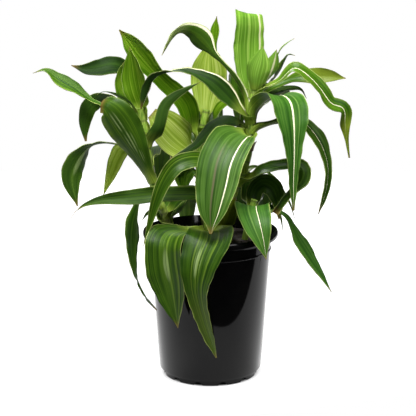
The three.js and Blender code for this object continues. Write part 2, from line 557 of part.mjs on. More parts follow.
const plant = new THREE.Group();
plant.add(piece('pot', makePot(), FINISHES.pot));
plant.add(piece('soil', makeSoil(), FINISHES.soil));
for (const [name, stem] of Object.entries(STEMS)) {
  plant.add(piece(`stem_${name}`, rod(stem.points, stem.radius), FINISHES.stem));
}
for (const [stem, leaves] of LEAVES) {
  for (const [name, leaf] of Object.entries(leaves)) {
    plant.add(piece(name, makeLeaf({ ...leaf, stem }), FINISHES[leaf.tone].clone()));
  }
}

export default plant;
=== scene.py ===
"""A basket plant with cream striped strap leaves in a black nursery pot."""

import math
import random

import bmesh
import bpy
from mathutils import Matrix, Vector, noise


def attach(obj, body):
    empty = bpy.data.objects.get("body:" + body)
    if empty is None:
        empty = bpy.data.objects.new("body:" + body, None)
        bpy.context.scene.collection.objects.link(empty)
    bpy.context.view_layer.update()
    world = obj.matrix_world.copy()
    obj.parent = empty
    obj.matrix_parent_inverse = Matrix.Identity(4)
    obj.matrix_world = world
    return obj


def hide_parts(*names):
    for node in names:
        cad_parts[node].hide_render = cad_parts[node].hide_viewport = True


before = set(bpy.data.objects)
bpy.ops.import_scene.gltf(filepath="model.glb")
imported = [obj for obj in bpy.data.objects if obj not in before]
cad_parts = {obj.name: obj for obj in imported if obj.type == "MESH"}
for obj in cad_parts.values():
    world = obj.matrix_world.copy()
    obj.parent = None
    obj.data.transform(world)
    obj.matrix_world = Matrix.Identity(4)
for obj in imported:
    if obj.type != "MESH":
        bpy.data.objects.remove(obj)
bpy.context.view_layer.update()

MM = 0.001
LEAF_THICKNESS = 0.6 * MM
CAD_THICKNESS = 0.9 * MM
COLUMN_WIDTH = 1.6 * MM
LEAST_COLUMNS = 8
MOST_COLUMNS = 36
ROW_LENGTH = 3.0 * MM
LEAST_ROWS = 24
MOST_ROWS = 84
CLASP_GAP = 0.8 * MM
SHEATH_RISE = 5 * MM
SHEATH_LEAN = 1.5 * MM
SHEATH_ANGLE = 1.25
SHEATH_WRAP = 1.7
CLASP_LENGTH = 0.16
TIP_HALF_WIDTH = 0.15 * MM
TIP_POWER = 1.6
TIP_SHARPNESS = 1.15
WAVE_PITCH = 46 * MM
RIPPLE_PITCH = 17 * MM
RIPPLE = 0.5 * MM
RIPPLED_WIDTH = 24
GROOVE = 0.35 * MM
GROOVE_WIDTH = 1.4 * MM
FREE_HALF_WIDTH = 6 * MM
FOLD_PITCH = 3.6 * MM
FOLD = 0.1 * MM
RAIL_STEPS = 120
WELD = 1e-6
SHEET_CREASE = 0.9
POT_CREASE = 0.6

STALK_COLUMNS = 20
STALK_ROW = 1.5 * MM
SCAR_SPACING = 17 * MM
SCAR_WIDTH = 0.07

SOIL_LEVEL = 171 * MM
SOIL_RADIUS = 73 * MM
SOIL_FLOOR = 8.3 * MM
SOIL_MOUND = 4.5 * MM
SOIL_LUMP = 1.3 * MM
SOIL_RINGS = 34
SOIL_STEPS = 96
CHIP_COUNT = 170

CAMERA_PLACE = (-0.003, -1.5, 0.533)
CAMERA_TILT = 12.1
CAMERA_LENS = 106.9
CAMERA_SENSOR = 36

# Stems, in millimetres: points from the soil to the tip.
STEMS = {
    "left": dict(radius=5, points=[(-38, 2, 140), (-48, 0, 173), (-60, 0, 213), (-71, 0, 242),
        (-76, 0, 266), (-79, 0, 297), (-87, 0, 336)]),
    "right": dict(radius=5.2, points=[(6, 2, 140), (14, 0, 173), (30, 0, 234), (44, 0, 270),
        (49, 0, 303), (51, 0, 340), (57, 0, 368)]),
    "back": dict(radius=4.6, points=[(-2, 40, 140), (-7, 42, 180), (-14, 45, 240), (-12, 45, 292),
        (-5, 46, 328)]),
    "front": dict(radius=4.4, points=[(-2, -22, 140), (-3, -28, 172), (-4, -32, 208)]),
    "low_right": dict(radius=4.2, points=[(34, -6, 140), (42, -10, 172), (54, -10, 224)]),
}

# Leaves, in millimetres and degrees. A leaf clasps its stem at a height and faces out at an angle.
# Rolls and outline are evenly spaced from base to tip. Clasp and channel say how far it curls round
# its stem and across its blade. Without an outline it is at full width from peak to shoulder, which
# are shares of its length.
LEAVES = {
    "left_leaf_far_thin": dict(
        stem="left", height=296, faces=215, width=20, rolls=(0, -20, -50, -60, -70, -20),
        outline=(0.5, 0.3, 0.26, 0.26, 0.4, 0.8, 1, 0.6, 0.03),
        points=[(-104, -13, 324), (-128, -14, 340), (-148, -13, 350), (-167, -12, 363),
            (-187, -12, 375), (-199, -12, 383), (-214, -12, 380)],
    ),
    "left_leaf_dark_arch": dict(
        stem="left", height=298, faces=70, width=26, clasp=1, rolls=(0, 30, 60, 75, 75, 70, 60, 40),
        outline=(0.4, 0.5, 0.5, 0.6, 0.8, 1, 0.95, 0.6, 0.03),
        points=[(-86, 20, 318), (-92, 40, 345), (-98, 46, 366), (-107, 46, 378), (-120, 38, 384),
            (-137, 28, 382), (-154, 18, 382), (-170, 12, 387)],
    ),
    "left_leaf_upright": dict(
        stem="left", height=331, faces=62, width=35, channel=0.6, peak=0.45, shoulder=0.52,
        points=[(-88, 5, 352), (-92, 5, 370), (-95, 4, 392), (-98, 3, 410)],
    ),
    "left_leaf_behind": dict(
        stem="left", height=318, faces=100, width=28, clasp=1,
        points=[(-94, 21, 335), (-105, 27, 351), (-111, 28, 366), (-111, 26, 379),
            (-106, 24, 390)],
    ),
    "left_leaf_front_broad": dict(
        stem="left", height=243, faces=-100, width=43, rolls=(0, 6, 14, 18, 18),
        outline=(0.25, 0.4, 0.62, 0.86, 1, 0.9, 0.4),
        points=[(-79, -13, 264), (-89, -23, 288), (-104, -33, 318), (-117, -39, 338),
            (-124, -37, 344), (-131, -31, 343)],
    ),
    "left_leaf_hooked": dict(
        stem="left", height=303, faces=184, width=24, clasp=1, rolls=(0, 0, 15, 60, 78, 75),
        outline=(0.4, 0.5, 0.6, 1, 0.9, 0.6, 0.1),
        points=[(-100, 3, 327), (-115, 5, 343), (-134, 4, 345), (-147, 3, 338), (-153, 2, 322),
            (-154, 1, 307), (-153, 1, 295)],
    ),
    "left_leaf_cupped": dict(
        stem="left", height=284, faces=185, width=31, clasp=1, rolls=(0, 5, 15, 50, 75, 70),
        outline=(0.45, 0.4, 0.4, 0.55, 0.95, 1, 0.55, 0.05),
        points=[(-96, 4, 287), (-114, 5, 290), (-133, 5, 292), (-150, 4, 287), (-163, 1, 270),
            (-171, -1, 249), (-165, -2, 214)],
    ),
    "left_leaf_drooping": dict(
        stem="left", height=272, faces=150, width=24, rolls=(0, 20, 50, 60, 60),
        points=[(-94, 20, 281), (-108, 25, 281), (-117, 25, 268), (-125, 25, 248),
            (-135, 24, 222)],
    ),
    "left_leaf_crossing": dict(
        stem="left", height=288, faces=-40, width=15, rolls=(0, -40, -60, -55, -40),
        points=[(-63, -12, 314), (-55, -13, 341), (-45, -11, 351), (-29, -5, 360), (-12, 3, 368)],
    ),
    "left_leaf_curl": dict(
        stem="left", height=331, faces=215, width=6, clasp=0.4, rolls=(0,),
        points=[(-98, -4, 343), (-110, -6, 351), (-121, -7, 356), (-130, -7, 357),
            (-138, -7, 353)],
    ),
    "left_leaf_small_loop": dict(
        stem="left", height=198, faces=20, width=24, rolls=(0, 25, 35),
        points=[(-42, 6, 216), (-31, 9, 227), (-17, 10, 229), (-4, 9, 219), (5, 8, 203)],
    ),
    "left_leaf_low_hanging": dict(
        stem="left", height=208, faces=175, width=27, rolls=(0, -20, -55, -70, 10, -50),
        outline=(0.4, 0.7, 1, 0.95, 0.6, 0.36, 0.36, 0.28, 0.05),
        points=[(-73, 4, 217), (-86, 5, 220), (-92, 4, 206), (-96, 2, 183), (-97, -4, 156),
            (-92, -14, 127), (-80, -28, 105), (-66, -42, 92)],
    ),
    "left_leaf_rim": dict(
        stem="left", height=190, faces=150, width=14, rolls=(0, -30, -40),
        points=[(-62, 10, 200), (-70, 13, 204), (-78, 14, 202), (-86, 14, 192)],
    ),
    "left_leaf_back_high": dict(
        stem="left", height=290, faces=98, width=34,
        points=[(-94, 28, 310), (-102, 56, 326), (-108, 82, 318), (-112, 100, 290),
            (-113, 108, 254)],
    ),
    "left_leaf_back_inner": dict(
        stem="left", height=262, faces=95, width=30,
        points=[(-76, 24, 272), (-75, 50, 280), (-72, 76, 271), (-70, 96, 242), (-68, 104, 206)],
    ),
    "left_leaf_back_low": dict(
        stem="left", height=187, faces=90, width=34,
        points=[(-50, 25, 200), (-43, 43, 213), (-35, 62, 211), (-33, 80, 199), (-32, 94, 172),
            (-32, 98, 138)],
    ),
    "right_leaf_front_broad": dict(
        stem="right", height=296, faces=-115, width=54, rolls=(0, -10, -15, -15, -8, 0),
        outline=(0.22, 0.6, 0.92, 1, 1, 0.9, 0.62, 0.06),
        points=[(45, -18, 305), (36, -34, 308), (24, -56, 302), (13, -74, 284), (7, -87, 258),
            (3, -95, 232), (0, -100, 202)],
    ),
    "right_leaf_hanging_broad": dict(
        stem="right", height=328, faces=-60, width=51, channel=0.3, rolls=(0, 10, 22, 25, 22, 20),
        outline=(0.34, 0.8, 1, 0.87, 0.56, 0.34, 0.22, 0.05),
        points=[(62, -13, 344), (72, -20, 352), (84, -31, 355), (92, -44, 348), (96, -52, 326),
            (98, -57, 290), (98, -59, 254), (99, -60, 221)],
    ),
    "right_leaf_far_twisted": dict(
        stem="right", height=346, faces=-25, width=20, clasp=1,
        rolls=(0, 30, 45, 45, 55, 60, 120, 120),
        outline=(0.5, 0.6, 0.85, 1, 1, 0.95, 0.85, 0.3, 0.1),
        points=[(67, -6, 361), (84, -9, 371), (101, -12, 386), (119, -14, 376), (133, -14, 361),
            (146, -14, 344), (161, -12, 337), (164, -10, 314), (170, -8, 276)],
    ),
    "right_leaf_far_level": dict(
        stem="right", height=339, faces=12, width=20, rolls=(0, 40, 60, 78, 80),
        outline=(0.5, 0.4, 0.4, 0.5, 0.85, 1, 0.7, 0.04),
        points=[(69, 8, 355), (88, 13, 365), (107, 14, 372), (125, 14, 374), (145, 14, 374),
            (166, 14, 371)],
    ),
    "right_leaf_side_arch": dict(
        stem="right", height=303, faces=0, width=20, rolls=(0, 20, 45, 55, 62, 62, 60),
        outline=(0.6, 0.8, 0.8, 0.8, 0.9, 1, 0.75, 0.5, 0.5, 0.35, 0.04),
        points=[(68, 3, 313), (80, 7, 317), (98, 8, 321), (115, 6, 317), (128, 4, 304),
            (139, 2, 285), (145, 0, 262), (143, -1, 234), (134, -2, 204)],
    ),
    "right_leaf_top_broad": dict(
        stem="right", height=346, faces=112, width=42, wave=0.5, channel=0.2,
        outline=(0.3, 0.5, 0.85, 1, 0.95, 0.85, 0.55),
        points=[(48, 15, 358), (46, 18, 374), (46, 19, 391), (46, 18, 412), (47, 15, 436),
            (46, 18, 448), (45, 26, 449), (45, 32, 441)],
    ),
    "right_leaf_heart": dict(
        stem="right", height=359, faces=-105, width=32, clasp=0.8, channel=0.9, peak=0.45,
        shoulder=0.55,
        points=[(55, -11, 378), (59, -12, 395), (63, -10, 412)],
    ),
    "right_leaf_heart_side": dict(
        stem="right", height=358, faces=0, width=24, clasp=0.6, rolls=(0, -50, -68), channel=0.7,
        shoulder=0.6,
        points=[(72, 1, 377), (77, 3, 391), (80, 4, 407)],
    ),
    "right_leaf_small_upper": dict(
        stem="right", height=353, faces=44, width=21, clasp=0.5, rolls=(0, -40, -60, -60),
        points=[(76, 22, 367), (86, 27, 380), (91, 27, 391), (96, 25, 399), (104, 24, 398)],
    ),
    "right_leaf_small_curl": dict(
        stem="right", height=355, faces=64, width=12, clasp=0.45, rolls=(0, -40, -60, -60),
        points=[(70, 26, 370), (79, 36, 386), (87, 39, 404), (96, 37, 413), (104, 37, 418)],
    ),
    "right_leaf_twisted_tall": dict(
        stem="right", height=331, faces=170, width=28,
        rolls=(0, 40, 60, 70, 76, 84, 88, 76, 60, 40, 30),
        outline=(0.5, 0.4, 0.3, 0.26, 0.2, 0.4, 1, 0.8, 0.4, 0.28, 0.04),
        points=[(40, 2, 356), (30, 3, 374), (14, 5, 392), (4, 6, 402), (-3, 7, 411), (-12, 6, 421),
            (-21, 5, 428), (-32, 4, 431), (-43, 4, 426), (-51, 4, 414), (-59, 4, 400)],
    ),
    "right_leaf_long_arch": dict(
        stem="right", height=316, faces=205, width=30, rolls=(0, -40, -62, -62, -40, 10, 35, 40),
        outline=(0.5, 0.75, 1, 0.95, 0.66, 0.36, 0.36, 0.42, 0.36, 0.04),
        points=[(35, -12, 334), (26, -16, 346), (15, -20, 358), (4, -24, 369), (-7, -26, 376),
            (-29, -27, 384), (-54, -26, 382), (-70, -23, 375), (-78, -20, 360), (-84, -18, 337)],
    ),
    "right_leaf_shaded_arch": dict(
        stem="right", height=299, faces=168, width=32, rolls=(0, -40, -60, -55),
        outline=(0.6, 1, 1, 0.85, 0.62, 0.42, 0.3, 0.05),
        points=[(37, 8, 312), (25, 8, 316), (10, 10, 312), (-4, 11, 301), (-18, 10, 288),
            (-33, 9, 279), (-50, 8, 272)],
    ),
    "right_leaf_tucked": dict(
        stem="right", height=326, faces=40, width=14, clasp=0.7, rolls=(0, 20, 20),
        points=[(66, 14, 345), (80, 19, 352), (98, 23, 357), (112, 24, 356), (119, 24, 345)],
    ),
    "right_leaf_low_left": dict(
        stem="right", height=214, faces=215, width=20, rolls=(0, -30, -60, -65, -65, -50),
        shoulder=0.6,
        points=[(9, -14, 228), (-18, -25, 234), (-61, -31, 235), (-98, -35, 232), (-134, -38, 229),
            (-153, -39, 223), (-164, -40, 215)],
    ),
    "right_leaf_low_arch": dict(
        stem="right", height=258, faces=215, width=22, rolls=(0, -20, -45, -55, -60, -60),
        points=[(24, -16, 268), (-3, -31, 276), (-25, -43, 279), (-42, -51, 273), (-55, -55, 256),
            (-65, -57, 232), (-73, -58, 204), (-81, -58, 176)],
    ),
    "right_leaf_rolled_back": dict(
        stem="right", height=238, faces=-20, width=28, rolls=(0, 20, 40, 50, 60, 60, 60),
        channel=0.8, outline=(0.8, 1, 1, 0.82, 0.66, 0.78, 0.66, 0.4, 0.38, 0.36),
        points=[(52, -8, 249), (64, -12, 259), (87, -15, 266), (103, -17, 268), (112, -19, 264),
            (112, -21, 253), (104, -23, 243), (92, -25, 230), (78, -27, 211)],
    ),
    "right_leaf_short_sheath": dict(
        stem="right", height=185, faces=-90, width=26, channel=0.9, shoulder=0.5,
        points=[(20, -13, 198), (24, -17, 212), (30, -19, 228)],
    ),
    "right_leaf_thin_side": dict(
        stem="right", height=252, faces=30, width=8, clasp=0.6, rolls=(0, 30, 50),
        points=[(54, 11, 261), (66, 14, 258), (81, 14, 243), (97, 13, 220), (106, 12, 195)],
    ),
    "right_leaf_back_arch": dict(
        stem="right", height=322, faces=75, width=34,
        points=[(64, 34, 348), (78, 62, 356), (90, 86, 342), (98, 104, 312), (104, 112, 274)],
    ),
    "right_leaf_back_tall": dict(
        stem="right", height=311, faces=115, width=36,
        points=[(42, 32, 345), (40, 66, 362), (38, 98, 350), (38, 122, 316), (40, 132, 272)],
    ),
    "back_leaf_pale_diagonal": dict(
        stem="back", height=288, faces=155, clasp=0.9, width=31, rolls=(0, -40, -70, -72, -70),
        outline=(0.5, 0.82, 0.9, 0.8, 0.74, 0.72, 0.95, 0.75, 0.05),
        points=[(-24, 51, 304), (-26, 46, 320), (-31, 40, 337), (-41, 34, 350), (-56, 31, 364),
            (-71, 29, 380), (-85, 28, 397), (-98, 28, 414), (-112, 28, 429)],
    ),
    "back_leaf_pale_upright": dict(
        stem="back", height=318, faces=80, width=48, channel=0.4, peak=0.5, shoulder=0.6,
        points=[(-4, 58, 336), (-2, 62, 352), (-1, 63, 374), (-1, 62, 394), (-1, 60, 413)],
    ),
    "back_leaf_tip_tall": dict(
        stem="back", height=312, faces=60, width=14,
        outline=(0.7, 0.8, 0.8, 0.7, 0.6, 0.5, 0.4, 0.85, 0.03),
        points=[(2, 66, 330), (5, 76, 345), (6, 78, 375), (6, 77, 403), (6, 76, 423),
            (8, 75, 443)],
    ),
    "back_leaf_broad_pale": dict(
        stem="back", height=268, faces=190, width=50, clasp=1, rolls=(0, -40, -70, -75, -70),
        outline=(0.2, 0.42, 0.9, 1, 0.98, 0.9, 0.7, 0.3),
        points=[(-26, 37, 279), (-35, 28, 288), (-46, 24, 299), (-58, 25, 312), (-68, 25, 322),
            (-73, 26, 326)],
    ),
    "back_leaf_right_pale": dict(
        stem="back", height=298, faces=-40, width=22, rolls=(0, 40, 60, 60),
        points=[(4, 34, 316), (11, 32, 330), (20, 31, 338), (31, 30, 338), (43, 30, 336)],
    ),
    "back_leaf_low_hidden": dict(
        stem="back", height=242, faces=215, width=32, rolls=(0, -30, -50),
        points=[(-22, 35, 257), (-29, 31, 256), (-34, 29, 244), (-32, 28, 222)],
    ),
    "back_leaf_arch": dict(
        stem="back", height=277, faces=80, width=36, clasp=1,
        points=[(-6, 68, 312), (-2, 94, 320), (0, 116, 302), (0, 129, 268), (-2, 135, 226)],
    ),
    "back_leaf_side": dict(
        stem="back", height=264, faces=140, width=30,
        points=[(-30, 68, 288), (-42, 94, 292), (-54, 114, 270), (-60, 126, 234), (-62, 130, 196)],
    ),
    "back_leaf_low": dict(
        stem="back", height=204, faces=60, width=40,
        points=[(2, 68, 224), (18, 90, 232), (32, 106, 214), (36, 114, 180), (36, 118, 140)],
    ),
    "front_leaf_over_rim": dict(
        stem="front", height=184, faces=-90, width=57,
        outline=(0.3, 0.75, 1, 0.98, 0.82, 0.58, 0.42, 0.34, 0.22, 0.03), rolls=(0, 6, 8, 6, 0),
        points=[(-1, -50, 192), (0, -68, 197), (-1, -87, 192), (-8, -99, 178), (-13, -104, 162),
            (-16, -104, 137), (-8, -98, 96), (7, -90, 47)],
    ),
    "front_leaf_over_rim_left": dict(
        stem="front", height=180, faces=-150, width=50, peak=0.36, shoulder=0.62,
        points=[(-21, -39, 188), (-38, -49, 193), (-49, -62, 192), (-54, -73, 183),
            (-54, -76, 162), (-48, -77, 129), (-39, -77, 80)],
    ),
    "low_right_leaf_over_rim": dict(
        stem="low_right", height=204, faces=-90, width=43, peak=0.3, shoulder=0.5,
        points=[(52, -26, 217), (50, -42, 223), (50, -61, 220), (54, -76, 208), (60, -83, 190),
            (66, -85, 167)],
    ),
    "low_right_leaf_shaded": dict(
        stem="low_right", height=208, faces=120, width=26, rolls=(0, -8, -14, -20),
        outline=(0.5, 0.75, 0.85, 1, 0.85, 0.5, 0.1),
        points=[(52, 5, 222), (57, 9, 235), (67, 10, 241), (78, 10, 235), (84, 8, 218),
            (86, 7, 196)],
    ),
    "low_right_leaf_long": dict(
        stem="low_right", height=196, faces=10, width=18, rolls=(0, 30, 45, 55, 55),
        outline=(0.6, 0.34, 0.32, 0.55, 0.95, 1, 0.7, 0.35, 0.04),
        points=[(66, -3, 206), (80, -6, 209), (92, -7, 204), (101, -7, 190), (110, -7, 172),
            (124, -7, 150), (138, -7, 128), (152, -8, 105)],
    ),
    "low_right_leaf_grey": dict(
        stem="low_right", height=190, faces=50, width=13, clasp=0.6, rolls=(0, 30, 30),
        points=[(67, 14, 203), (81, 20, 206), (88, 21, 195), (92, 21, 177)],
    ),
    "low_right_leaf_back": dict(
        stem="low_right", height=205, faces=80, width=34,
        points=[(52, 18, 219), (56, 34, 232), (62, 52, 240), (68, 72, 224), (70, 84, 190),
            (70, 88, 150)],
    ),
}

YELLOWED = (0.15, 0.2, 0.016, 1)
FADED = (0.3, 0.4, 0.12, 1)

# How each leaf is marked: its tone, its cream stripes and its pale stripes. A stripe is its place
# across the leaf and its width, both as shares of the leaf's width. A painted highlight is a pale
# sheen painted into the colour, given by its place across and along and its reach both ways. An end
# is its colour, its share of the length and its strength.
MARKS = {
    "left_leaf_far_thin": dict(tone="green", gloss=0.5),
    "left_leaf_dark_arch": dict(tone="dark", gloss=0.55),
    "left_leaf_upright": dict(tone="leafy"),
    "left_leaf_behind": dict(tone="leafy", gloss=0.45),
    "left_leaf_front_broad": dict(tone="deep", pale=[(0.08, 0.1), (0.3, 0.03)], gloss=0.2,
        painted_highlights=[(0.42, 0.74, 0.15, 0.14), (0.48, 0.5, 0.15, 0.15), (0.6, 0.32, 0.09, 0.09)]),
    "left_leaf_hooked": dict(tone="shaded"),
    "left_leaf_cupped": dict(tone="shaded", pale=[(0.5, 0.06)], painted_highlights=[(0.45, 0.6, 0.14, 0.16)]),
    "left_leaf_drooping": dict(tone="pale", pale=[(0.15, 0.16), (0.85, 0.16)]),
    "left_leaf_crossing": dict(tone="shaded", gloss=0.48),
    "left_leaf_curl": dict(tone="green"),
    "left_leaf_small_loop": dict(tone="shaded"),
    "left_leaf_low_hanging": dict(tone="shaded"),
    "left_leaf_rim": dict(tone="green"),
    "left_leaf_back_high": dict(tone="green", cream=[(0.34, 0.05)], gloss=0.6),
    "left_leaf_back_inner": dict(tone="deep", cream=[(0.7, 0.04)], gloss=0.7),
    "left_leaf_back_low": dict(tone="green", pale=[(0.3, 0.06), (0.6, 0.05)], gloss=0.6),
    "right_leaf_front_broad": dict(tone="bluish", cream=[(0.72, 0.027)], pale=[(0.86, 0.03)],
        mauve=0.44, gloss=0.38),
    "right_leaf_hanging_broad": dict(tone="cool", cream=[(0.56, 0.045)], pale=[(0.75, 0.03)]),
    "right_leaf_far_twisted": dict(tone="green", cream=[(0.5, 0.048)],
        end=(YELLOWED, 0.3, 0.85), browned=0.02),
    "right_leaf_far_level": dict(tone="green", end=(YELLOWED, 0.5, 0.85), browned=0.03),
    "right_leaf_side_arch": dict(tone="shaded", cream=[(0.5, 0.02)]),
    "right_leaf_top_broad": dict(tone="bright", cream=[(0.13, 0.055)], pale=[(0.5, 0.05)]),
    "right_leaf_heart": dict(tone="bright"),
    "right_leaf_heart_side": dict(tone="bright", cream=[(0.5, 0.14)]),
    "right_leaf_small_upper": dict(tone="green"),
    "right_leaf_small_curl": dict(tone="green"),
    "right_leaf_twisted_tall": dict(tone="deep", cream=[(0.93, 0.16)], end=(FADED, 0.3, 0.7)),
    "right_leaf_long_arch": dict(tone="dark", cream=[(0.06, 0.06)], gloss=0.5),
    "right_leaf_shaded_arch": dict(tone="dark", gloss=0.5),
    "right_leaf_tucked": dict(tone="deep", gloss=0.6),
    "right_leaf_low_left": dict(tone="deep", gloss=0.55),
    "right_leaf_low_arch": dict(tone="deep", pale=[(0.3, 0.05)]),
    "right_leaf_rolled_back": dict(tone="shaded"),
    "right_leaf_short_sheath": dict(tone="olive"),
    "right_leaf_thin_side": dict(tone="green"),
    "right_leaf_back_arch": dict(tone="bluish", cream=[(0.62, 0.05)]),
    "right_leaf_back_tall": dict(tone="green", cream=[(0.4, 0.04)]),
    "back_leaf_pale_diagonal": dict(tone="leafy"),
    "back_leaf_pale_upright": dict(tone="pale", pale=[(0.3, 0.08)]),
    "back_leaf_tip_tall": dict(tone="young"),
    "back_leaf_broad_pale": dict(tone="pale"),
    "back_leaf_right_pale": dict(tone="young"),
    "back_leaf_low_hidden": dict(tone="green"),
    "back_leaf_arch": dict(tone="green", cream=[(0.55, 0.05)], gloss=0.6),
    "back_leaf_side": dict(tone="deep", cream=[(0.3, 0.04)]),
    "back_leaf_low": dict(tone="shaded", pale=[(0.66, 0.05)], gloss=0.6),
    "front_leaf_over_rim": dict(tone="deep", pale=[(0.3, 0.03), (0.44, 0.025), (0.68, 0.04)],
        painted_highlights=[(0.42, 0.42, 0.1, 0.1)], gloss=0.4, end=(YELLOWED, 0.45, 0.2), browned=0.02),
    "front_leaf_over_rim_left": dict(tone="deep", pale=[(0.56, 0.04), (0.8, 0.05)],
        painted_highlights=[(0.52, 0.55, 0.09, 0.14)], gloss=0.4),
    "low_right_leaf_over_rim": dict(tone="cool", cream=[(0.62, 0.025)], pale=[(0.4, 0.04)], gloss=0.42),
    "low_right_leaf_shaded": dict(tone="shaded"),
    "low_right_leaf_long": dict(tone="cool", gloss=0.42),
    "low_right_leaf_grey": dict(tone="bluish"),
    "low_right_leaf_back": dict(tone="shaded"),
}

# Tones from the darkest band to the lightest, then the underside, how much light comes through and
# how strongly the fine light lines show.
TONES = {
    "dark": dict(bands=[(0.005, 0.019, 0.001), (0.013, 0.042, 0.002), (0.05, 0.1, 0.01)],
        under=(0.018, 0.055, 0.004), through=0.0, lined=0.2),
    "deep": dict(bands=[(0.009, 0.032, 0.001), (0.036, 0.09, 0.003), (0.15, 0.24, 0.022)],
        under=(0.036, 0.085, 0.006), through=0.0, lined=0.24),
    "shaded": dict(bands=[(0.008, 0.03, 0.001), (0.028, 0.073, 0.004), (0.1, 0.18, 0.02)],
        under=(0.028, 0.072, 0.006), through=0.0, lined=0.2),
    "green": dict(bands=[(0.018, 0.066, 0.002), (0.066, 0.155, 0.006), (0.2, 0.33, 0.035)],
        under=(0.065, 0.13, 0.01), through=0.12, lined=0.28),
    "bluish": dict(bands=[(0.016, 0.052, 0.003), (0.05, 0.12, 0.012), (0.12, 0.22, 0.04)],
        under=(0.045, 0.1, 0.01), through=0.0, lined=0.25),
    "cool": dict(bands=[(0.014, 0.06, 0.005), (0.05, 0.145, 0.015), (0.17, 0.3, 0.06)],
        under=(0.04, 0.11, 0.012), through=0.0, lined=0.22),
    "bright": dict(bands=[(0.1, 0.25, 0.02), (0.25, 0.49, 0.05), (0.54, 0.7, 0.17)],
        under=(0.16, 0.3, 0.03), through=0.4, lined=0.5),
    "leafy": dict(bands=[(0.035, 0.115, 0.002), (0.115, 0.25, 0.006), (0.34, 0.48, 0.05)],
        under=(0.1, 0.21, 0.01), through=0.35, lined=0.42),
    "olive": dict(bands=[(0.1, 0.16, 0.005), (0.25, 0.33, 0.014), (0.42, 0.48, 0.06)],
        under=(0.17, 0.23, 0.012), through=0.4, lined=0.5),
    "young": dict(bands=[(0.06, 0.17, 0.003), (0.18, 0.36, 0.008), (0.42, 0.58, 0.06)],
        under=(0.15, 0.29, 0.012), through=0.5, lined=0.5),
    "pale": dict(bands=[(0.2, 0.32, 0.02), (0.42, 0.54, 0.08), (0.66, 0.72, 0.24)],
        under=(0.3, 0.42, 0.05), through=0.45, lined=0.65),
}

CREAM = (0.78, 0.75, 0.52, 1)
# Colour of the painted highlights: a pale sheen painted into the leaf colour.
PAINTED_HIGHLIGHT = (0.34, 0.44, 0.18, 1)
EDGE_PALE = (0.36, 0.42, 0.12, 1)
BASE_GREEN = (0.12, 0.24, 0.008, 1)
BASE_PALE = (0.42, 0.5, 0.08, 1)
BROWN = (0.2, 0.1, 0.03, 1)
MAUVE = (0.11, 0.08, 0.05, 1)


class Finish:
    """The node graph of one material."""

    def __init__(self, name):
        self.material = bpy.data.materials.new(name)
        self.material.use_nodes = True
        self.tree = self.material.node_tree
        self.tree.nodes.clear()
        self.output = self.tree.nodes.new("ShaderNodeOutputMaterial")

    def add(self, kind, inputs=None, **settings):
        node = self.tree.nodes.new(kind)
        for name, value in settings.items():
            setattr(node, name, value)
        for key, value in (inputs or {}).items():
            if isinstance(value, bpy.types.NodeSocket):
                self.tree.links.new(value, node.inputs[key])
            else:
                node.inputs[key].default_value = value
        return node

    def sum(self, operation, *values):
        return self.add("ShaderNodeMath", dict(enumerate(values)), operation=operation).outputs[0]

    def between(self, value, low, high, start=0.0, end=1.0):
        """Goes smoothly from start at low to end at high."""
        inputs = {"Value": value, "From Min": low, "From Max": high, "To Min": start, "To Max": end}
        return self.add("ShaderNodeMapRange", inputs, interpolation_type="SMOOTHSTEP").outputs[0]

    def blend(self, share, first, second):
        node = self.add("ShaderNodeMix", {0: share, 6: first, 7: second}, data_type="RGBA")
        return node.outputs[2]

    def cloud(self, where, scale, detail=2.0, roughness=0.5):
        inputs = {"Vector": where, "Scale": scale, "Detail": detail, "Roughness": roughness}
        return self.add("ShaderNodeTexNoise", inputs).outputs["Fac"]

    def placed(self, where, scale, shift=(0, 0, 0)):
        inputs = {"Vector": where, "Scale": scale, "Location": shift}
        return self.add("ShaderNodeMapping", inputs).outputs[0]

    def own_place(self):
        return self.add("ShaderNodeTexCoord").outputs["Object"]

    def blade_map(self):
        return self.add("ShaderNodeUVMap", uv_map="leaf").outputs[0]

    def written(self, attribute):
        return self.add("ShaderNodeAttribute", attribute_name=attribute).outputs["Fac"]

    def ramp(self, share, stops):
        node = self.add("ShaderNodeValToRGB", {"Fac": share})
        steps = node.color_ramp.elements
        while len(steps) < len(stops):
            steps.new(0.5)
        for step, (place, color) in zip(steps, stops):
            step.position = place
            step.color = (*color[:3], 1)
        return node.outputs["Color"]

    def relief(self, height, strength, distance):
        inputs = {"Height": height, "Strength": strength, "Distance": distance}
        return self.add("ShaderNodeBump", inputs).outputs["Normal"]

    def coat(self, color, roughness, normal):
        inputs = {"Base Color": color, "Roughness": roughness, "Normal": normal}
        return self.add("ShaderNodeBsdfPrincipled", inputs)

    def show(self, shader):
        self.tree.links.new(shader.outputs[0], self.output.inputs["Surface"])
        return self.material


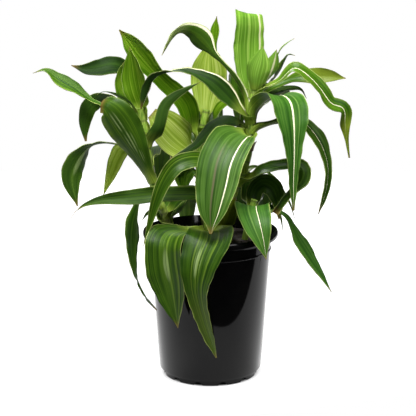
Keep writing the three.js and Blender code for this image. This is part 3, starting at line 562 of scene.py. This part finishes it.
def leaf_finish(name, leaf, marks, length):
    """Bands and veins along the blade, stripes, painted highlights, a pale edge and a tinted or browned
    end.
    """
    finish = Finish(name + "_finish")
    tone = TONES[marks["tone"]]
    seed = sum(ord(letter) * (place + 3) for place, letter in enumerate(name)) % 97
    uv = finish.blade_map()
    across, along = finish.add("ShaderNodeSeparateXYZ", {0: uv}).outputs[:2]
    edge = finish.written("edge")
    under = finish.written("under")
    width = leaf["width"]
    wide_bands = finish.placed(uv, (width * 0.09, length / MM * 0.007, 1), (seed, seed * 0.3, 0))
    vein_lines = finish.placed(uv, (width * 0.42, length / MM * 0.005, 1), (seed * 0.7, seed, 0))
    hair_lines = finish.placed(uv, (width * 1.3, length / MM * 0.012, 1), (seed * 0.4, seed * 0.9, 0))
    bands = finish.cloud(wide_bands, 1.0, 2.0, 0.5)
    veins = finish.cloud(vein_lines, 1.0, 2.0, 0.6)
    hairs = finish.cloud(hair_lines, 1.0, 2.0, 0.6)
    low, middle, high = tone["bands"]
    mottled = finish.sum("MULTIPLY_ADD", veins, 0.55, finish.sum("MULTIPLY", bands, 0.45))
    color = finish.ramp(mottled, [(0.38, low), (0.6, middle)])
    fine = finish.sum("MULTIPLY_ADD", hairs, 0.55, finish.sum("MULTIPLY", veins, 0.45))
    lined = finish.between(bands, 0.38, 0.6, tone["lined"] * 0.4, tone["lined"])
    lines = finish.sum("MULTIPLY", finish.between(fine, 0.49, 0.62), lined)
    color = finish.blend(lines, color, (*high, 1))
    base_pale = finish.between(along, 0.03, 0.22, 0.8, 0.0)
    color = finish.blend(base_pale, color, finish.blend(veins, BASE_GREEN, BASE_PALE))
    if "mauve" in marks:
        away = finish.sum("ABSOLUTE", finish.sum("SUBTRACT", across, marks["mauve"]))
        streak = finish.between(away, 0.01, 0.07, 0.7, 0.0)
        broken = finish.between(veins, 0.4, 0.6)
        beyond_bend = finish.sum("MULTIPLY", broken, finish.between(along, 0.3, 0.5))
        color = finish.blend(finish.sum("MULTIPLY", streak, beyond_bend), color, MAUVE)
    kinds = (("cream", 0.35, 0.65, 0.95, CREAM), ("pale", 0.2, 0.8, 0.45, (*high, 1)))
    for kind, full, gone, strength, tint in kinds:
        for place, share in marks.get(kind, []):
            drift = finish.sum("MULTIPLY_ADD", bands, 0.05, place - 0.025)
            away = finish.sum("ABSOLUTE", finish.sum("SUBTRACT", across, drift))
            stripe = finish.between(away, share * full, share * gone, strength, 0.0)
            color = finish.blend(stripe, color, tint)
    # Painted highlights: pale streaky sheen patches painted into the colour where the leaf would shine.
    for place, height, reach, run in marks.get("painted_highlights", []):
        beside = finish.sum("MULTIPLY", finish.sum("SUBTRACT", across, place), 1 / reach)
        beyond = finish.sum("MULTIPLY", finish.sum("SUBTRACT", along, height), 1 / run)
        distance = finish.sum("ADD", finish.sum("POWER", beside, 2.0), finish.sum("POWER", beyond, 2.0))
        highlight_patch = finish.between(distance, 0.1, 1.0, 0.5, 0.0)
        color = finish.blend(finish.sum("MULTIPLY", highlight_patch, finish.between(veins, 0.4, 0.62)), color, PAINTED_HIGHLIGHT)
    rim = finish.between(edge, 0.4, 1.2, 0.65, 0.0)
    color = finish.blend(finish.sum("MULTIPLY", rim, finish.between(bands, 0.35, 0.6)), color, EDGE_PALE)
    underside = finish.blend(finish.between(veins, 0.3, 0.7), (*tone["under"], 1), color)
    color = finish.blend(finish.sum("MULTIPLY", under, 0.6), color, underside)
    if "end" in marks:
        tint, share, strength = marks["end"]
        ending = finish.between(along, 1 - share, 1 - share * 0.6, 0.0, strength)
        color = finish.blend(ending, color, tint)
    browned = marks.get("browned", 0.05)
    tip = finish.between(finish.sum("MULTIPLY_ADD", bands, 0.06, along), 1.0 - browned, 1.06, 0.0, 0.8)
    color = finish.blend(tip, color, BROWN)
    sheen = marks.get("gloss", 0.3)
    gloss = finish.between(veins, 0.3, 0.7, sheen, sheen + 0.13)
    gloss = finish.sum("MULTIPLY_ADD", under, 0.12, gloss)
    steepness = 0.8 * min(width / 40, 1) ** 2
    relief = finish.relief(veins, finish.between(along, 0.55, 0.85, steepness, 0.0), 0.6 * MM)
    surface = finish.coat(color, gloss, relief)
    surface.inputs["Specular IOR Level"].default_value = 0.14
    if tone["through"] == 0:
        return finish.show(surface)
    light = finish.add("ShaderNodeBsdfTranslucent", {"Color": color})
    both = {0: tone["through"], 1: surface.outputs[0], 2: light.outputs[0]}
    return finish.show(finish.add("ShaderNodeMixShader", both))


def pot_finish():
    """Glossy black plastic with faint upright flow lines, dust and fine scuffs."""
    finish = Finish("nursery_pot_finish")
    where = finish.own_place()
    lines = finish.cloud(finish.placed(where, (160, 160, 9)), 1.0, 3.0, 0.6)
    dust = finish.cloud(finish.placed(where, (420, 420, 300)), 1.0, 4.0, 0.7)
    patches = finish.cloud(where, 26.0, 3.0, 0.55)
    color = finish.ramp(patches, [(0.35, (0.0018, 0.0018, 0.002)), (0.65, (0.0038, 0.0037, 0.0035))])
    specks = finish.between(dust, 0.66, 0.76, 0.0, 0.12)
    color = finish.blend(specks, color, (0.06, 0.055, 0.048, 1))
    gloss = finish.sum("MULTIPLY_ADD", specks, 0.5, finish.between(lines, 0.3, 0.7, 0.06, 0.1))
    height = finish.sum("MULTIPLY_ADD", lines, 0.8, finish.sum("MULTIPLY", dust, 0.1))
    surface = finish.coat(color, gloss, finish.relief(height, 0.05, 0.2 * MM))
    surface.inputs["Specular IOR Level"].default_value = 0.17
    return finish.show(surface)


def soil_finish():
    """Dark moist peat with bark crumbs and a few pale specks."""
    finish = Finish("potting_soil_finish")
    where = finish.own_place()
    crumbs = finish.cloud(where, 260.0, 5.0, 0.65)
    lumps = finish.cloud(where, 60.0, 3.0, 0.5)
    color = finish.ramp(crumbs, [(0.3, (0.006, 0.004, 0.003)), (0.52, (0.03, 0.019, 0.011)),
        (0.72, (0.09, 0.058, 0.034))])
    color = finish.blend(finish.between(lumps, 0.4, 0.7, 0.0, 0.5), color, (0.012, 0.008, 0.006, 1))
    dullness = finish.between(lumps, 0.3, 0.7, 0.75, 0.95)
    return finish.show(finish.coat(color, dullness, finish.relief(crumbs, 0.8, 1.2 * MM)))


def chip_finish():
    """Bark chips, from reddish brown to grey."""
    finish = Finish("bark_chip_finish")
    where = finish.own_place()
    grain = finish.cloud(finish.placed(where, (500, 180, 500)), 1.0, 4.0, 0.6)
    tint = finish.cloud(where, 90.0, 1.0)
    color = finish.ramp(tint, [(0.35, (0.02, 0.011, 0.006)), (0.5, (0.07, 0.035, 0.018)),
        (0.65, (0.13, 0.1, 0.075))])
    color = finish.blend(finish.between(grain, 0.4, 0.7, 0.0, 0.6), color, (0.02, 0.012, 0.008, 1))
    dullness = finish.between(grain, 0.3, 0.7, 0.7, 0.95)
    return finish.show(finish.coat(color, dullness, finish.relief(grain, 0.6, 0.5 * MM)))


def stem_finish():
    """Green stem, browner and scarred by leaf rings towards the soil."""
    finish = Finish("stem_finish")
    along = finish.add("ShaderNodeSeparateXYZ", {0: finish.blade_map()}).outputs[1]
    streaks = finish.cloud(finish.placed(finish.own_place(), (900, 900, 60)), 1.0, 3.0, 0.6)
    color = finish.ramp(streaks, [(0.3, (0.09, 0.2, 0.01)), (0.52, (0.2, 0.34, 0.03)),
        (0.7, (0.42, 0.5, 0.1))])
    old = finish.between(finish.sum("MULTIPLY_ADD", streaks, 0.3, along), 0.3, 0.7, 0.85, 0.0)
    color = finish.blend(old, color, (0.085, 0.06, 0.025, 1))
    scars = finish.sum("MULTIPLY", finish.written("edge"), 0.75)
    color = finish.blend(scars, color, (0.04, 0.028, 0.014, 1))
    dullness = finish.between(streaks, 0.3, 0.7, 0.42, 0.62)
    return finish.show(finish.coat(color, dullness, finish.relief(streaks, 0.4, 0.5 * MM)))


def papery_finish():
    """Dry straw coloured skin left by old leaf sheaths."""
    finish = Finish("dry_sheath_finish")
    fibres = finish.cloud(finish.placed(finish.own_place(), (1400, 1400, 70)), 1.0, 3.0, 0.6)
    color = finish.ramp(fibres, [(0.3, (0.1, 0.06, 0.025)), (0.52, (0.25, 0.17, 0.075)),
        (0.7, (0.42, 0.33, 0.18))])
    dullness = finish.between(fibres, 0.3, 0.7, 0.6, 0.85)
    return finish.show(finish.coat(color, dullness, finish.relief(fibres, 0.7, 0.4 * MM)))


def floor_finish():
    """Plain white glowing studio floor, painted brighter away from the pot and with a painted shadow
    under it.
    """
    finish = Finish("studio_floor_finish")
    where = finish.own_place()
    away = finish.add("ShaderNodeVectorMath", {0: where}, operation="LENGTH").outputs["Value"]
    paper = finish.add("ShaderNodeBsdfDiffuse", {"Color": (0.3, 0.3, 0.3, 1)})
    # Painted shadow: no glow under the pot's foot, full glow just beyond it.
    glow_past_painted_shadow = finish.between(away, 0.055, 0.062, 0.0, 0.8)
    # Painted light: the glow grows stronger farther from the pot.
    bright = finish.sum("ADD", glow_past_painted_shadow, finish.between(away, 0.25, 0.8, 0.0, 0.3))
    lift = finish.add("ShaderNodeEmission", {"Color": (1, 1, 1, 1), "Strength": bright})
    return finish.show(finish.add("ShaderNodeAddShader", {0: paper.outputs[0], 1: lift.outputs[0]}))


def smooth(value, low, high):
    share = min(max((value - low) / (high - low), 0.0), 1.0)
    return share * share * (3 - 2 * share)


def mix(first, second, share):
    return first + (second - first) * share


def value_along(values, share):
    """A smooth curve through values that are evenly spaced from base to tip."""
    last = len(values) - 1
    place = share * last
    index = max(0, min(math.floor(place), last - 1))
    before, start, end, after = (values[min(max(index + k, 0), last)] for k in (-1, 0, 1, 2))
    t = place - index
    bend = t * (2 * before - 5 * start + 4 * end - after + t * (3 * (start - end) + after - before))
    return start + 0.5 * t * (end - before + bend)


class Rail:
    """A smooth curve through points, walked by its length."""

    def __init__(self, points):
        first = points[0] * 2 - points[1]
        last = points[-1] * 2 - points[-2]
        self.points = [first, *points, last]
        self.spans = len(points) - 1
        self.lengths = [0.0]
        spot = self.at(0.0)
        for step in range(1, RAIL_STEPS + 1):
            next_spot = self.at(step / RAIL_STEPS)
            self.lengths.append(self.lengths[-1] + (next_spot - spot).length)
            spot = next_spot
        self.length = self.lengths[-1]

    def at(self, share):
        place = min(max(share, 0.0), 1.0) * self.spans
        index = min(int(place), self.spans - 1)
        t = place - index
        a, b, c, d = self.points[index:index + 4]
        gap_a, gap_b, gap_c = ((q - p).length ** 0.5 for p, q in ((a, b), (b, c), (c, d)))
        leave = ((b - a) / gap_a - (c - a) / (gap_a + gap_b) + (c - b) / gap_b) * gap_b
        arrive = ((c - b) / gap_b - (d - b) / (gap_b + gap_c) + (d - c) / gap_c) * gap_b
        return (b + leave * t + (-3 * b + 3 * c - 2 * leave - arrive) * t ** 2
            + (2 * b - 2 * c + leave + arrive) * t ** 3)

    def walked(self, share):
        """The curve's own share at a share of its length."""
        goal = share * self.length
        step = 0
        while step < RAIL_STEPS - 1 and self.lengths[step + 1] < goal:
            step += 1
        part = (goal - self.lengths[step]) / max(self.lengths[step + 1] - self.lengths[step], 1e-9)
        return (step + part) / RAIL_STEPS

    def heading(self, share):
        return (self.at(share + 1e-4) - self.at(share - 1e-4)).normalized()


def stem_rail(stem):
    return Rail([Vector(point) * MM for point in STEMS[stem]["points"]])


def stem_at(rail, height):
    """A stem's axis at a height, found by halving, as every stem only climbs."""
    low, high = 0.0, 1.0
    for _ in range(30):
        middle = (low + high) / 2
        if rail.at(middle).z < height:
            low = middle
        else:
            high = middle
    return rail.at(low), rail.heading(low)


def leaf_path(leaf, rows):
    """The blade's middle line, with its width and upper face directions at every row."""
    centre, climb = stem_at(stem_rail(leaf["stem"]), leaf["height"] * MM)
    angle = math.radians(leaf["faces"])
    out = Vector((math.cos(angle), math.sin(angle), 0))
    clasp_radius = STEMS[leaf["stem"]]["radius"] * MM + CLASP_GAP + CAD_THICKNESS / 2
    base = centre + out * clasp_radius
    sheath_top = base + climb * SHEATH_RISE + out * SHEATH_LEAN
    rail = Rail([base, sheath_top] + [Vector(point) * MM for point in leaf["points"]])
    side = Vector((-math.sin(angle), math.cos(angle), 0))
    path = []
    for row in range(rows + 1):
        share = row / rows
        place = rail.walked(share)
        ahead = rail.heading(place)
        side = (side - ahead * side.dot(ahead)).normalized()
        roll = math.radians(value_along(leaf.get("rolls", (0, 0)), share))
        face = ahead.cross(side)
        turned = side * math.cos(roll) + face * math.sin(roll)
        path.append((rail.at(place), turned, ahead.cross(turned)))
    return path, rail.length, clasp_radius


def half_width(leaf, share, clasp_width):
    if "outline" in leaf:
        drawn = value_along(leaf["outline"], share) * leaf["width"] * MM / 2
        return max(mix(clasp_width, drawn, smooth(share, 0, CLASP_LENGTH)), TIP_HALF_WIDTH)
    grown = mix(clasp_width, leaf["width"] * MM / 2, smooth(share, 0, leaf.get("peak", 0.32)))
    shoulder = leaf.get("shoulder", 0.42)
    past = max(0.0, (share - shoulder) / (1 - shoulder))
    return max(grown * (1 - past ** TIP_POWER) ** TIP_SHARPNESS, TIP_HALF_WIDTH)


def piece_from(form, name, finish):
    """Makes the shaped form a piece of its own, in one finish."""
    mesh = bpy.data.meshes.new(name)
    form.to_mesh(mesh)
    form.free()
    mesh.materials.append(finish)
    piece = bpy.data.objects.new(name, mesh)
    bpy.context.collection.objects.link(piece)
    return piece


def sheet(name, columns, rows, place, finish, closed=False):
    """A grid bent by place(across, along, inner), with across from -1 to 1 and along from 0 to 1.

    An open sheet gets a second skin, which closes it, and a closed one is welded into a tube.
    """
    form = bmesh.new()
    form.loops.layers.uv.new("leaf")
    layers = ("across", "along", "edge", "under")
    for layer in layers:
        form.verts.layers.float.new(layer)
    bmesh.ops.create_grid(form, x_segments=columns, y_segments=rows, size=1.0)
    across, along, edge_mm, under = (form.verts.layers.float[layer] for layer in layers)
    for vert in form.verts:
        vert[across] = vert.co.x
        vert[along] = vert.co.y / 2 + 0.5
    if not closed:
        grown = bmesh.ops.extrude_face_region(form, geom=form.faces[:], use_keep_orig=True)["geom"]
        for vert in grown:
            if isinstance(vert, bmesh.types.BMVert):
                vert[under] = 1.0
    uv = form.loops.layers.uv["leaf"]
    for vert in form.verts:
        vert.co, vert[edge_mm] = place(vert[across], vert[along], vert[under] > 0.5)
    for face in form.faces:
        face.smooth = True
        for loop in face.loops:
            loop[uv].uv = (loop.vert[across] / 2 + 0.5, loop.vert[along])
    if closed:
        bmesh.ops.remove_doubles(form, verts=form.verts, dist=WELD)
        rims = [edge for edge in form.edges if edge.is_boundary]
        bmesh.ops.holes_fill(form, edges=rims, sides=0)
    bmesh.ops.recalc_face_normals(form, faces=form.faces)
    for edge in form.edges:
        edge.smooth = edge.calc_face_angle(0.0) < SHEET_CREASE
    piece = piece_from(form, name, finish)
    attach(piece, "root")
    return piece


def make_leaf(name, leaf):
    marks = MARKS[name]
    length = leaf_path(leaf, 4)[1]
    rows = int(min(max(length / ROW_LENGTH, LEAST_ROWS), MOST_ROWS))
    columns = int(min(max(leaf["width"] * MM / COLUMN_WIDTH, LEAST_COLUMNS), MOST_COLUMNS)) // 2 * 2
    path, length, clasp_radius = leaf_path(leaf, rows)
    clasp_angle = leaf.get("clasp", SHEATH_ANGLE) * SHEATH_WRAP
    folds = max(2, round(leaf["width"] * MM / FOLD_PITCH))
    ripple = RIPPLE * min(leaf["width"] / RIPPLED_WIDTH, 1.2)
    start = leaf["height"] * 1.7

    def place(across, along, inner):
        middle, side, face = path[round(along * rows)]
        half = half_width(leaf, along, clasp_angle * clasp_radius)
        bow = mix(clasp_angle, leaf.get("channel", 0.45), smooth(along, 0, CLASP_LENGTH))
        blade = smooth(along, 0.1, 0.4)
        turn = bow * across
        walked = 2 * math.pi * along * length
        phase = walked / WAVE_PITCH + (leaf["height"] if across > 0 else 0)
        waves = leaf.get("wave", 1.2) * MM * blade * (half / (leaf["width"] * MM)) * 2
        lift = half / bow * (1 - math.cos(turn)) + waves * across ** 2 * math.sin(phase)
        free = min(half / FREE_HALF_WIDTH, 1.0) * blade
        beat = walked / RIPPLE_PITCH + (start if across > 0 else 0)
        lift += ripple * free * across ** 4 * math.sin(beat)
        lift -= GROOVE * free * math.exp(-(across * half / GROOVE_WIDTH) ** 2)
        lift += FOLD * free * math.cos(math.pi * across * folds)
        lateral = half / bow * math.sin(turn)
        skin = LEAF_THICKNESS * (-0.5 if inner else 0.5)
        spot = middle + side * (lateral - skin * math.sin(turn)) + face * (lift + skin * math.cos(turn))
        return spot, (1 - abs(across)) * half / MM

    piece = sheet(name + "_blade", columns, rows, place, leaf_finish(name, leaf, marks, length))
    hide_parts(name)
    return piece


def make_stem(name, finish):
    """A round stem with a swollen ring at every old leaf scar."""
    stem = STEMS[name]
    rail = stem_rail(name)
    rows = round(rail.length / STALK_ROW)
    joints = rail.length / SCAR_SPACING
    across_start = Vector((1, 0, 0))

    def place(across, along, inner):
        centre = rail.at(rail.walked(along))
        ahead = rail.heading(rail.walked(along))
        right = (across_start - ahead * across_start.dot(ahead)).normalized()
        back = ahead.cross(right)
        beat = (along * joints) % 1.0
        ring = math.exp(-(min(beat, 1 - beat) / SCAR_WIDTH) ** 2)
        radius = stem["radius"] * MM * (0.97 + 0.05 * ring - 0.02 * math.cos(beat * 2 * math.pi))
        turn = math.pi * across
        return centre + right * math.cos(turn) * radius + back * math.sin(turn) * radius, ring

    piece = sheet("stem_" + name + "_stalk", STALK_COLUMNS, rows, place, finish, closed=True)
    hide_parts("stem_" + name)


def make_dry_sheath(name, stem, height, faces, size, finish):
    """A papery collar round the stem, torn to a point on one side."""
    centre, climb = stem_at(stem_rail(stem), height * MM)
    radius = (STEMS[stem]["radius"] + 0.5) * MM
    angle = math.radians(faces)
    right = Vector((math.cos(angle), math.sin(angle), 0))
    right = (right - climb * right.dot(climb)).normalized()
    back = climb.cross(right)

    def place(across, along, inner):
        turn = across * 2.2
        point = math.cos(across * math.pi / 2)
        rise = size * MM * along * (0.3 + 0.7 * point ** 2) + 0.4 * MM * math.sin(across * 17) * along
        flare = (0.9 * along ** 2 + 0.12 * math.sin(across * 40)) * MM
        reach = radius + flare + (0.0 if inner else 0.3 * MM)
        around = right * math.cos(turn) + back * math.sin(turn)
        lean = right * (1.6 * MM * along ** 2 * point)
        return centre + climb * rise + around * reach + lean, 0.0

    piece = sheet(name, 24, 10, place, finish)


def make_thread(name, points, radius, finish):
    """A hair-thin dry leaf end."""
    rail = Rail([Vector(point) * MM for point in points])

    def place(across, along, inner):
        walk = rail.walked(along)
        ahead = rail.heading(walk)
        right = (Vector((0, 1, 0)) - ahead * ahead.y).normalized()
        back = ahead.cross(right)
        thin = radius * MM * (1 - 0.7 * along)
        turn = math.pi * across
        return rail.at(walk) + right * math.cos(turn) * thin + back * math.sin(turn) * thin, 0.0

    piece = sheet(name, 6, 24, place, finish, closed=True)


def make_pot(finish):
    """The pot's own solid, welded and shaded smooth between its sharp edges."""
    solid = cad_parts["pot"]
    form = bmesh.new()
    form.from_mesh(solid.data)
    form.transform(solid.matrix_world)
    bmesh.ops.remove_doubles(form, verts=form.verts, dist=WELD)
    bmesh.ops.recalc_face_normals(form, faces=form.faces)
    for face in form.faces:
        face.smooth = True
    for edge in form.edges:
        edge.smooth = edge.calc_face_angle(0.0) < POT_CREASE
    piece = piece_from(form, "nursery_pot", finish)
    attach(piece, "root")
    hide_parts("pot")


def make_soil(finish):
    """The root ball, turned from its outline, with a lumpy top."""
    form = bmesh.new()
    low = SOIL_FLOOR
    outline = [(0, low), (30 * MM, low), (58 * MM, low), (61.3 * MM, low + 2 * MM), (67 * MM, 90 * MM),
        (SOIL_RADIUS - 1 * MM, SOIL_LEVEL - 1 * MM)]
    outline += [(SOIL_RADIUS * (1 - ring / SOIL_RINGS), SOIL_LEVEL) for ring in range(SOIL_RINGS + 1)]
    spots = [form.verts.new((radius, 0, height)) for radius, height in outline]
    edges = [form.edges.new(pair) for pair in zip(spots, spots[1:])]
    bmesh.ops.spin(form, geom=spots + edges, cent=(0, 0, 0), axis=(0, 0, 1), angle=2 * math.pi,
        steps=SOIL_STEPS, use_merge=True)
    bmesh.ops.remove_doubles(form, verts=form.verts, dist=WELD)
    for vert in form.verts:
        if vert.co.z > SOIL_LEVEL - 0.5 * MM:
            reach = Vector((vert.co.x, vert.co.y, 0)).length / SOIL_RADIUS
            mound = SOIL_MOUND * (1 - reach ** 2)
            lumps = noise.fractal(vert.co * 70, 1.0, 2.0, 4) * SOIL_LUMP
            vert.co.z += mound + lumps * min(1, (1 - reach) * 12)
    bmesh.ops.recalc_face_normals(form, faces=form.faces)
    for face in form.faces:
        face.smooth = True
    piece = piece_from(form, "potting_soil", finish)
    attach(piece, "root")
    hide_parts("soil")


def make_chips(finish):
    """Bark chips scattered on the soil."""
    chance = random.Random(7)
    form = bmesh.new()
    for _ in range(CHIP_COUNT):
        reach = SOIL_RADIUS * 0.95 * math.sqrt(chance.random())
        angle = chance.uniform(0, 2 * math.pi)
        spot = Vector((reach * math.cos(angle), reach * math.sin(angle), 0))
        mound = SOIL_MOUND * (1 - (reach / SOIL_RADIUS) ** 2)
        spot.z = SOIL_LEVEL + mound + chance.uniform(-0.3, 0.7) * MM
        size = chance.uniform(1.2, 3.6) * MM
        turn = Matrix.Rotation(chance.uniform(0, 6.28), 4, "Z")
        turn = turn @ Matrix.Rotation(chance.uniform(-0.5, 0.5), 4, "X")
        width = size * chance.uniform(0.4, 0.8)
        shape = Matrix.Diagonal((size, width, size * chance.uniform(0.2, 0.4), 1))
        placed = Matrix.Translation(spot) @ turn @ shape
        chip = bmesh.ops.create_icosphere(form, subdivisions=1, radius=1.0, matrix=placed)
        for vert in chip["verts"]:
            vert.co += noise.noise_vector(vert.co * 700) * size * 0.25
    piece = piece_from(form, "bark_chips", finish)
    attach(piece, "root")


def softbox(name, place, aim, size, power):
    lamp = bpy.data.lights.new(name, "AREA")
    lamp.shape = "RECTANGLE"
    lamp.size, lamp.size_y = size
    lamp.energy = power
    rig = bpy.data.objects.new(name, lamp)
    rig.location = place
    rig.rotation_euler = (Vector(aim) - Vector(place)).to_track_quat("-Z", "Y").to_euler()
    rig.visible_camera = False
    bpy.context.collection.objects.link(rig)


def set_floor():
    """A plain floor, whose front edge comes nearer on the left than on the right."""
    form = bmesh.new()
    spread = Matrix.Translation((0, 0.615, -0.0002)) @ Matrix.Diagonal((0.85, 0.785, 1, 1))
    bmesh.ops.create_grid(form, x_segments=2, y_segments=2, size=1.0, matrix=spread)
    for vert in form.verts:
        if vert.co.y < 0:
            vert.co.y += vert.co.x * (0.35 if vert.co.x > 0 else 0.25)
    floor = piece_from(form, "studio_floor", floor_finish())


def set_lights():
    softbox("key_softbox", (0.02, -0.42, 1.1), (0, 0, 0.3), (0.45, 0.45), 20)
    softbox("left_softbox", (-0.85, -0.75, 0.95), (-0.08, 0, 0.32), (0.2, 0.6), 4)
    softbox("fill_softbox", (0.9, -1.2, 1.1), (0, 0, 0.25), (0.5, 0.5), 5)
    softbox("back_softbox", (-0.5, 1.2, 1.5), (0, 0, 0.3), (0.8, 0.5), 38)


def set_world():
    """White behind the plant, and a dim even light on it."""
    world = bpy.data.worlds.new("studio")
    world.use_nodes = True
    tree = world.node_tree
    tree.nodes.clear()
    rays = tree.nodes.new("ShaderNodeLightPath")
    seen = tree.nodes.new("ShaderNodeMix")
    seen.inputs[2].default_value = 0.07
    seen.inputs[3].default_value = 0.04
    shown = tree.nodes.new("ShaderNodeMix")
    shown.inputs[3].default_value = 1.0
    sky = tree.nodes.new("ShaderNodeBackground")
    out = tree.nodes.new("ShaderNodeOutputWorld")
    tree.links.new(rays.outputs["Is Glossy Ray"], seen.inputs[0])
    tree.links.new(seen.outputs[0], shown.inputs[2])
    tree.links.new(rays.outputs["Is Camera Ray"], shown.inputs[0])
    tree.links.new(shown.outputs[0], sky.inputs["Strength"])
    tree.links.new(sky.outputs[0], out.inputs[0])
    sky.inputs["Color"].default_value = (1, 1, 1, 1)
    bpy.context.scene.world = world
    bpy.context.scene.view_settings.view_transform = "Standard"


def set_camera():
    lens = bpy.data.cameras.new("photo_camera")
    lens.lens = CAMERA_LENS
    lens.sensor_width = CAMERA_SENSOR
    rig = bpy.data.objects.new("photo_camera", lens)
    rig.location = CAMERA_PLACE
    rig.rotation_euler = (math.radians(90 - CAMERA_TILT), 0, 0)
    bpy.context.collection.objects.link(rig)
    bpy.context.scene.camera = rig


set_camera()
set_floor()
set_lights()
set_world()
make_pot(pot_finish())
make_soil(soil_finish())
make_chips(chip_finish())
stalk = stem_finish()
dry = papery_finish()
for stem_name in STEMS:
    make_stem(stem_name, stalk)
for leaf_name, leaf_form in LEAVES.items():
    make_leaf(leaf_name, leaf_form)
make_dry_sheath("dry_sheath_right_high", "right", 284, -20, 13, dry)
make_dry_sheath("dry_sheath_right_low", "right", 222, 200, 12, dry)
make_dry_sheath("dry_sheath_left", "left", 228, 10, 12, dry)
make_dry_sheath("dry_sheath_back", "back", 232, -60, 13, dry)
loose_end = [(-163, -40, 216), (-168, -40, 209), (-170, -41, 202), (-174, -41, 199)]
make_thread("dry_thread_low_left", loose_end, 0.5, dry)
